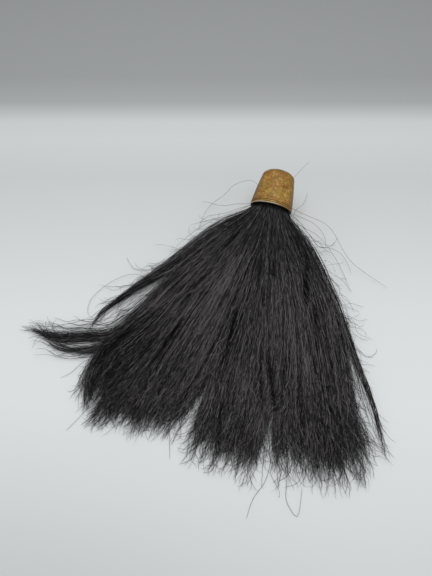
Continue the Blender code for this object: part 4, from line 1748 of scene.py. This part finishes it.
    def build(self, dress: Shade) -> bpy.types.Object:
        """Builds the lock and dresses it in the hair's material."""
        rng = np.random.default_rng(self.seed)
        a, h, strand = self.strands(rng)
        lines = self.lines(rng, a, h)
        hairs, rings = lines.shape[:2]
        radii = (rng.uniform(*self.thickness, hairs) / 2)[:, None] * self.taper.over(rings)[None, :]
        glint_and_tone_patches = rng.uniform(0, PATTERN_WIDTH, hairs)
        tones = self.tones_along(self.own_tones(rng, a, h, strand), lines)
        return HairMesh(self.shape.name, lines, radii, tones, glint_and_tone_patches, rng).lay_down(dress, self.node)


@dataclass(kw_only=True)
class LooseHairs:
    """Hairs outside the locks, each of one tone from end to end."""

    seat: CapSeat
    name: str
    node: str
    seed: int
    rings: int
    thickness: float
    tones: Span
    taper: Taper

    def lay(self, places: np.ndarray, rng: np.random.Generator, dress: Shade) -> bpy.types.Object:
        """Makes the piece of hairs that run through places, given by hair, ring and coordinate."""
        count = len(places)
        radii = np.full((count, 1), self.thickness / 2) * self.taper.over(self.rings)[None, :]
        tones = np.repeat(rng.uniform(*self.tones, count)[:, None], self.rings, axis=1)
        glint_and_tone_patches = rng.uniform(0, PATTERN_WIDTH, count)
        return HairMesh(self.name, places, radii, tones, glint_and_tone_patches, rng).lay_down(dress, self.node)


@dataclass(kw_only=True)
class Strays(LooseHairs):
    """Single hairs that have come loose at one side, each along a route on and above the table."""

    routes: tuple[Route, ...]
    rings: int = 36
    thickness: float = 0.00040
    tones: Span = (0.1, 0.4)
    taper: Taper = Taper(0.8, 0.9, 0.5)

    def build(self, dress: Shade) -> bpy.types.Object:
        """Builds the strays and dresses them in the hair's material."""
        rng = np.random.default_rng(self.seed)
        ground = np.array(self.seat.ground)
        lines = []
        for route in self.routes:
            curve = Curves(np.array(route)[None] + ground)
            lines.append(curve.read(np.linspace(0, curve.length[0], self.rings)[None])[0])
        places = np.stack(lines)
        places[:, :, 2] = np.maximum(places[:, :, 2], self.thickness / 2)
        return self.lay(places, rng, dress)


@dataclass(kw_only=True)
class EdgeFrizz(LooseHairs):
    """Short hairs that have sprung out of one edge of the tuft in loose curls.

    The edge is places of (bearing, distance, height), and side is 1 where the hairs turn left off it and -1
    where they turn right. Angles are in degrees.
    """

    edge: Route
    side: float
    count: int
    rings: int = 16
    thickness: float = 0.00027
    tones: Span = (0.2, 0.5)
    taper: Taper = Taper(0.8, 1.0, 0.6)
    shortest: float = 0.012
    longest: float = 0.046
    rarity: float = 2.0
    crowding: float = 1.3
    sight: float = 0.002
    spring: float = 10.0
    spring_spread: float = 17.0
    bend_spread: float = 62.0
    swings: Span = (8.0, 38.0)
    waves: Span = (0.6, 1.6)
    sinking: Span = (0.2, 0.9)
    lift: float = 0.003
    lift_pace: float = 3.0

    def build(self, dress: Shade) -> bpy.types.Object:
        """Builds the frizz and dresses it in the hair's material."""
        rng = np.random.default_rng(self.seed)
        each = (self.count, 1)
        bearing, distance, height = np.array(self.edge).T
        knots = np.concatenate([on_table(bearing, distance), height[:, None]], axis=1)
        curve = Curves(knots[None] + np.array(self.seat.ground))
        at = curve.length[0] * rng.random(self.count) ** self.crowding
        start = curve.read(at[None])[0]
        along = curve.read(at[None] + self.sight)[0] - start
        spring = self.side * np.radians(rng.normal(self.spring, self.spring_spread, self.count))
        heading = np.arctan2(along[:, 1], along[:, 0]) + spring
        share = np.linspace(0, 1, self.rings)[None, :]
        length = self.shortest + (self.longest - self.shortest) * rng.random(self.count) ** self.rarity
        bend = np.radians(rng.normal(0, self.bend_spread, self.count))[:, None] * share
        phase = rng.uniform(0, TURN, each)
        swing = np.radians(rng.uniform(*self.swings, each))
        swing = swing * np.sin(TURN * share * rng.uniform(*self.waves, each) + phase)
        turn = heading[:, None] + bend + swing
        step = (length / (self.rings - 1))[:, None]
        x = start[:, :1] + np.cumsum(np.cos(turn) * step, axis=1)
        y = start[:, 1:2] + np.cumsum(np.sin(turn) * step, axis=1)
        z = start[:, 2:] * (1 - share * rng.uniform(*self.sinking, each))
        z = z + self.lift * np.sin(self.lift_pace * share + phase)
        return self.lay(np.stack([x, y, np.maximum(z, self.thickness)], axis=2), rng, dress)


LEFT_EDGE: Route = (
    (-86.0, 0.050, 0.018), (-76.0, 0.080, 0.012), (-68.5, 0.110, 0.009), (-65.0, 0.135, 0.007),
    (-61.5, 0.175, 0.005), (-58.4, 0.215, 0.004),
)
RIGHT_EDGE: Route = (
    (66.0, 0.034, 0.020), (46.0, 0.058, 0.015), (37.5, 0.090, 0.011), (31.0, 0.130, 0.008),
    (26.4, 0.175, 0.006), (22.8, 0.215, 0.004),
)
LEFT_ROUTES: tuple[Route, ...] = (
    (
        (-0.004, -0.004, 0.012), (-0.006, 0.010, 0.004), (-0.002, 0.035, 0.004), (-0.008, 0.055, 0.010),
        (-0.018, 0.063, 0.018), (-0.028, 0.062, 0.019), (-0.044, 0.058, 0.015), (-0.058, 0.043, 0.011),
        (-0.074, 0.030, 0.008), (-0.083, 0.018, 0.005), (-0.087, 0.007, 0.004), (-0.091, -0.011, 0.003),
    ),
    (
        (-0.016, 0.006, 0.036), (-0.028, 0.009, 0.031), (-0.043, 0.015, 0.024), (-0.056, 0.018, 0.018),
        (-0.069, 0.025, 0.012), (-0.079, 0.033, 0.008), (-0.089, 0.037, 0.005),
    ),
    (
        (-0.016, 0.004, 0.036), (-0.029, 0.005, 0.031), (-0.041, 0.003, 0.028), (-0.053, 0.001, 0.024),
        (-0.069, 0.002, 0.018), (-0.079, 0.004, 0.013), (-0.087, -0.001, 0.009), (-0.091, -0.011, 0.005),
    ),
    (
        (-0.020, 0.004, 0.030), (-0.038, 0.001, 0.026), (-0.053, -0.004, 0.022), (-0.071, -0.003, 0.016),
        (-0.086, -0.003, 0.010), (-0.103, -0.004, 0.005),
    ),
    (
        (-0.018, 0.004, 0.040), (-0.039, 0.001, 0.028), (-0.068, -0.006, 0.020), (-0.096, -0.020, 0.012),
        (-0.120, -0.040, 0.005),
    ),
    (
        (-0.120, -0.075, 0.012), (-0.147, -0.093, 0.008), (-0.157, -0.085, 0.006), (-0.167, -0.081, 0.005),
        (-0.177, -0.082, 0.004), (-0.192, -0.090, 0.004), (-0.206, -0.102, 0.003), (-0.216, -0.118, 0.003),
        (-0.217, -0.127, 0.003), (-0.215, -0.136, 0.003), (-0.206, -0.142, 0.004),
    ),
)
RIGHT_ROUTES: tuple[Route, ...] = (
    (
        (0.018, -0.008, 0.036), (0.036, -0.016, 0.020), (0.060, -0.028, 0.012), (0.078, -0.056, 0.006),
        (0.092, -0.106, 0.002),
    ),
    (
        (0.018, -0.002, 0.040), (0.039, -0.004, 0.028), (0.070, -0.016, 0.020), (0.096, -0.066, 0.010),
        (0.137, -0.101, 0.003),
    ),
    (
        (0.004, -0.004, 0.012), (0.008, 0.010, 0.004), (0.016, 0.035, 0.006), (0.028, 0.055, 0.012),
        (0.034, 0.055, 0.030), (0.0375, 0.050, 0.044), (0.042, 0.050, 0.052), (0.051, 0.057, 0.058),
    ),
    (
        (0.016, -0.006, 0.030), (0.027, -0.008, 0.028), (0.033, 0.005, 0.022), (0.039, 0.017, 0.014),
        (0.048, 0.029, 0.009), (0.054, 0.043, 0.006), (0.058, 0.056, 0.004),
    ),
    (
        (0.016, -0.006, 0.036), (0.026, -0.008, 0.031), (0.039, -0.010, 0.026), (0.055, -0.015, 0.020),
        (0.064, -0.022, 0.015), (0.069, -0.033, 0.010), (0.069, -0.045, 0.005),
    ),
    (
        (0.017, -0.008, 0.036), (0.027, -0.011, 0.031), (0.041, -0.025, 0.024), (0.050, -0.036, 0.018),
        (0.057, -0.045, 0.014), (0.068, -0.045, 0.010), (0.081, -0.034, 0.006), (0.088, -0.023, 0.004),
    ),
    (
        (0.018, -0.008, 0.032), (0.031, -0.014, 0.028), (0.048, -0.034, 0.020), (0.059, -0.048, 0.015),
        (0.072, -0.047, 0.012), (0.085, -0.052, 0.008), (0.093, -0.066, 0.005), (0.096, -0.081, 0.003),
    ),
)
FRONT_ROUTES: tuple[Route, ...] = (
    (
        (-0.010, -0.215, 0.008), (-0.014, -0.280, 0.004), (-0.023, -0.312, 0.002), (-0.035, -0.327, 0.001),
        (-0.042, -0.344, 0.001),
    ),
    (
        (-0.004, -0.215, 0.008), (-0.004, -0.280, 0.004), (-0.003, -0.312, 0.002), (-0.004, -0.329, 0.001),
        (0.004, -0.341, 0.001), (0.009, -0.327, 0.002), (0.011, -0.315, 0.003),
    ),
)
CORNER_ROUTES: tuple[Route, ...] = (
    (
        (-0.160, -0.185, 0.008), (-0.172, -0.206, 0.006), (-0.185, -0.223, 0.004), (-0.195, -0.238, 0.003),
        (-0.206, -0.252, 0.002), (-0.218, -0.266, 0.001),
    ),
    (
        (-0.180, -0.172, 0.008), (-0.194, -0.183, 0.006), (-0.203, -0.189, 0.004), (-0.213, -0.195, 0.003),
        (-0.224, -0.206, 0.002), (-0.234, -0.211, 0.001),
    ),
    (
        (-0.098, -0.220, 0.008), (-0.107, -0.241, 0.006), (-0.114, -0.258, 0.004), (-0.114, -0.275, 0.002),
        (-0.113, -0.293, 0.001),
    ),
)


@dataclass
class Tuft:
    """All of the hair: its locks side by side across the round root, its veils, its frizz and its strays."""

    seat: CapSeat
    finish: Horsehair = field(default_factory=Horsehair)
    sliced: float = 0.955
    stray_share: int = 3
    cuts: int = 1001
    lock_seeds: int = 300
    veil_seeds: int = 400
    veil_strand: StrandSizes = field(default_factory=lambda: StrandSizes(free=1.0))
    veil_wave: WaveSizes = field(default_factory=lambda: WaveSizes(slow=0.0012, kink=0.0011))

    def slices(self) -> list[Span]:
        """Each lock's slice of the round root, as large as its share, between the strays' slices."""
        across = np.linspace(-self.sliced, self.sliced, self.cuts)
        area = across * np.sqrt(1 - across**2) + np.arcsin(across)
        counts = [self.stray_share, *(lock.root_share for lock in LOCKS), self.stray_share]
        shares = np.concatenate([[0], np.cumsum(counts)]) / sum(counts)
        cuts = np.interp(area[0] + shares * (area[-1] - area[0]), area, across)
        return list(zip(cuts[1:-2], cuts[2:-1]))

    def node_of(self, shape: LockShape) -> str:
        """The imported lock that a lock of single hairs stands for."""
        node = shape.name.removesuffix("_hair")
        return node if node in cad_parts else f"{node}_lock"

    def loose_hairs(self) -> list[Strays | EdgeFrizz]:
        """The strays and the frizz at both sides, then the strays in front and at the left corner."""
        left, right, front, corner = (
            Strays(seat=self.seat, name=name, node=node, routes=routes, seed=seed)
            for name, node, routes, seed in (
                ("left_strays", "left_stray_hairs", LEFT_ROUTES, 41),
                ("right_strays", "right_stray_hairs", RIGHT_ROUTES, 42),
                ("front_strays", "centre_lobe_right", FRONT_ROUTES, 43),
                ("corner_strays", "left_lobe_outer", CORNER_ROUTES, 44),
            )
        )
        left_frizz, right_frizz = (
            EdgeFrizz(seat=self.seat, name=name, node=node, edge=edge, side=side, count=count, seed=seed)
            for name, node, edge, side, count, seed in (
                ("left_frizz", "left_stray_hairs", LEFT_EDGE, -1.0, 110, 45),
                ("right_frizz", "right_stray_hairs", RIGHT_EDGE, 1.0, 170, 46),
            )
        )
        return [left, right, left_frizz, right_frizz, front, corner]

    def build(self) -> None:
        """Builds every lock and veil, then the loose hairs."""
        seat, dress = self.seat, self.finish.shade()
        parts: dict[str, Span] = {}
        for index, (shape, edges) in enumerate(zip(LOCKS, self.slices())):
            node = self.node_of(shape)
            parts[node] = edges
            HairLock(seat, shape, node, edges, self.lock_seeds + index).build(dress)
        for index, shape in enumerate(VEILS):
            over = HairLock(
                seat, shape, shape.beside, parts[shape.beside], self.veil_seeds + index,
                strand=self.veil_strand, wave=self.veil_wave,
            )
            over.build(dress)
        for hairs in self.loose_hairs():
            hairs.build(dress)


@dataclass
class Studio:
    """The table, the soft light and the camera, none of them part of the whisk."""

    seat: CapSeat
    table_side: float = 8.0
    camera_back: float = 0.3727
    camera_left: float = 0.0687
    camera_height: float = 0.440
    camera_dip: float = 58.0
    lens: float = 27.04
    long_side: float = 36.0
    sky: float = 0.46
    sky_tint: Colour = (0.97, 0.99, 1.0)
    wall: Colour = (0.52, 0.53, 0.535)
    lamp_side: float = 1.5
    lamp_back: float = 0.05
    lamp_height: float = 1.5
    lamp_share: float = 0.76
    finish: Tabletop = field(default_factory=Tabletop)

    def build_table(self) -> None:
        """Lays the table under the hair."""
        bpy.ops.object.select_all(action="DESELECT")
        bpy.ops.mesh.primitive_plane_add(size=self.table_side, location=(0.0, 0.0, 0.0))
        table = bpy.context.object
        table.name = "table"
        self.finish.shade(self.seat.ground).wear(table)

    def hang_lamp(self) -> None:
        """Hangs one broad soft lamp over the whisk."""
        bpy.ops.object.light_add(type="AREA", location=(0.0, self.lamp_back, self.lamp_height))
        lamp = bpy.context.object
        lamp.data.shape = "SQUARE"
        lamp.data.size = self.lamp_side
        lamp.data.energy = math.pi**2 * self.lamp_height**2 * self.lamp_share

    def light_room(self) -> None:
        """Fills the room with even light, and shows the camera a pale wall past the table."""
        world = bpy.data.worlds.new("room")
        bpy.context.scene.world = world
        world.use_nodes = True
        tree = world.node_tree
        light = tree.nodes["Background"]
        light.inputs["Color"].default_value = (*self.sky_tint, 1.0)
        light.inputs["Strength"].default_value = self.sky
        wall = tree.nodes.new("ShaderNodeBackground")
        wall.inputs["Color"].default_value = (*self.wall, 1.0)
        paths = tree.nodes.new("ShaderNodeLightPath")
        mix = tree.nodes.new("ShaderNodeMixShader")
        seen = paths.outputs["Is Camera Ray"]
        for kind in ("Is Glossy Ray", "Is Transmission Ray"):
            either = tree.nodes.new("ShaderNodeMath")
            either.operation = "MAXIMUM"
            tree.links.new(seen, either.inputs[0])
            tree.links.new(paths.outputs[kind], either.inputs[1])
            seen = either.outputs["Value"]
        tree.links.new(seen, mix.inputs["Fac"])
        tree.links.new(light.outputs["Background"], mix.inputs[1])
        tree.links.new(wall.outputs["Background"], mix.inputs[2])
        tree.links.new(mix.outputs["Shader"], tree.nodes["World Output"].inputs["Surface"])

    def set_camera(self) -> None:
        """Sets the camera at the photograph's height and dip."""
        ground = self.seat.ground
        place = (ground.x - self.camera_left, ground.y - self.camera_back, self.camera_height)
        bpy.ops.object.camera_add(location=place, rotation=(math.radians(90 - self.camera_dip), 0.0, 0.0))
        camera = bpy.context.object
        camera.data.sensor_width = self.long_side
        camera.data.lens = self.lens
        bpy.context.scene.camera = camera

    def build(self) -> None:
        """Builds the whole studio."""
        self.build_table()
        self.hang_lamp()
        self.light_room()
        self.set_camera()
        bpy.context.scene.view_settings.view_transform = "Standard"


def main() -> None:
    """Builds the whisk piece by piece, then the studio round it."""
    logging.basicConfig(level=logging.INFO, format="%(name)s: %(message)s")
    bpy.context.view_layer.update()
    seat = CapSeat.from_frame()
    TurnedCap(seat=seat).build()
    MouthRing(seat=seat).build()
    RootBinding(seat).dress()
    Tuft(seat).build()
    Studio(seat).build()


if __name__ == "__main__":
    main()
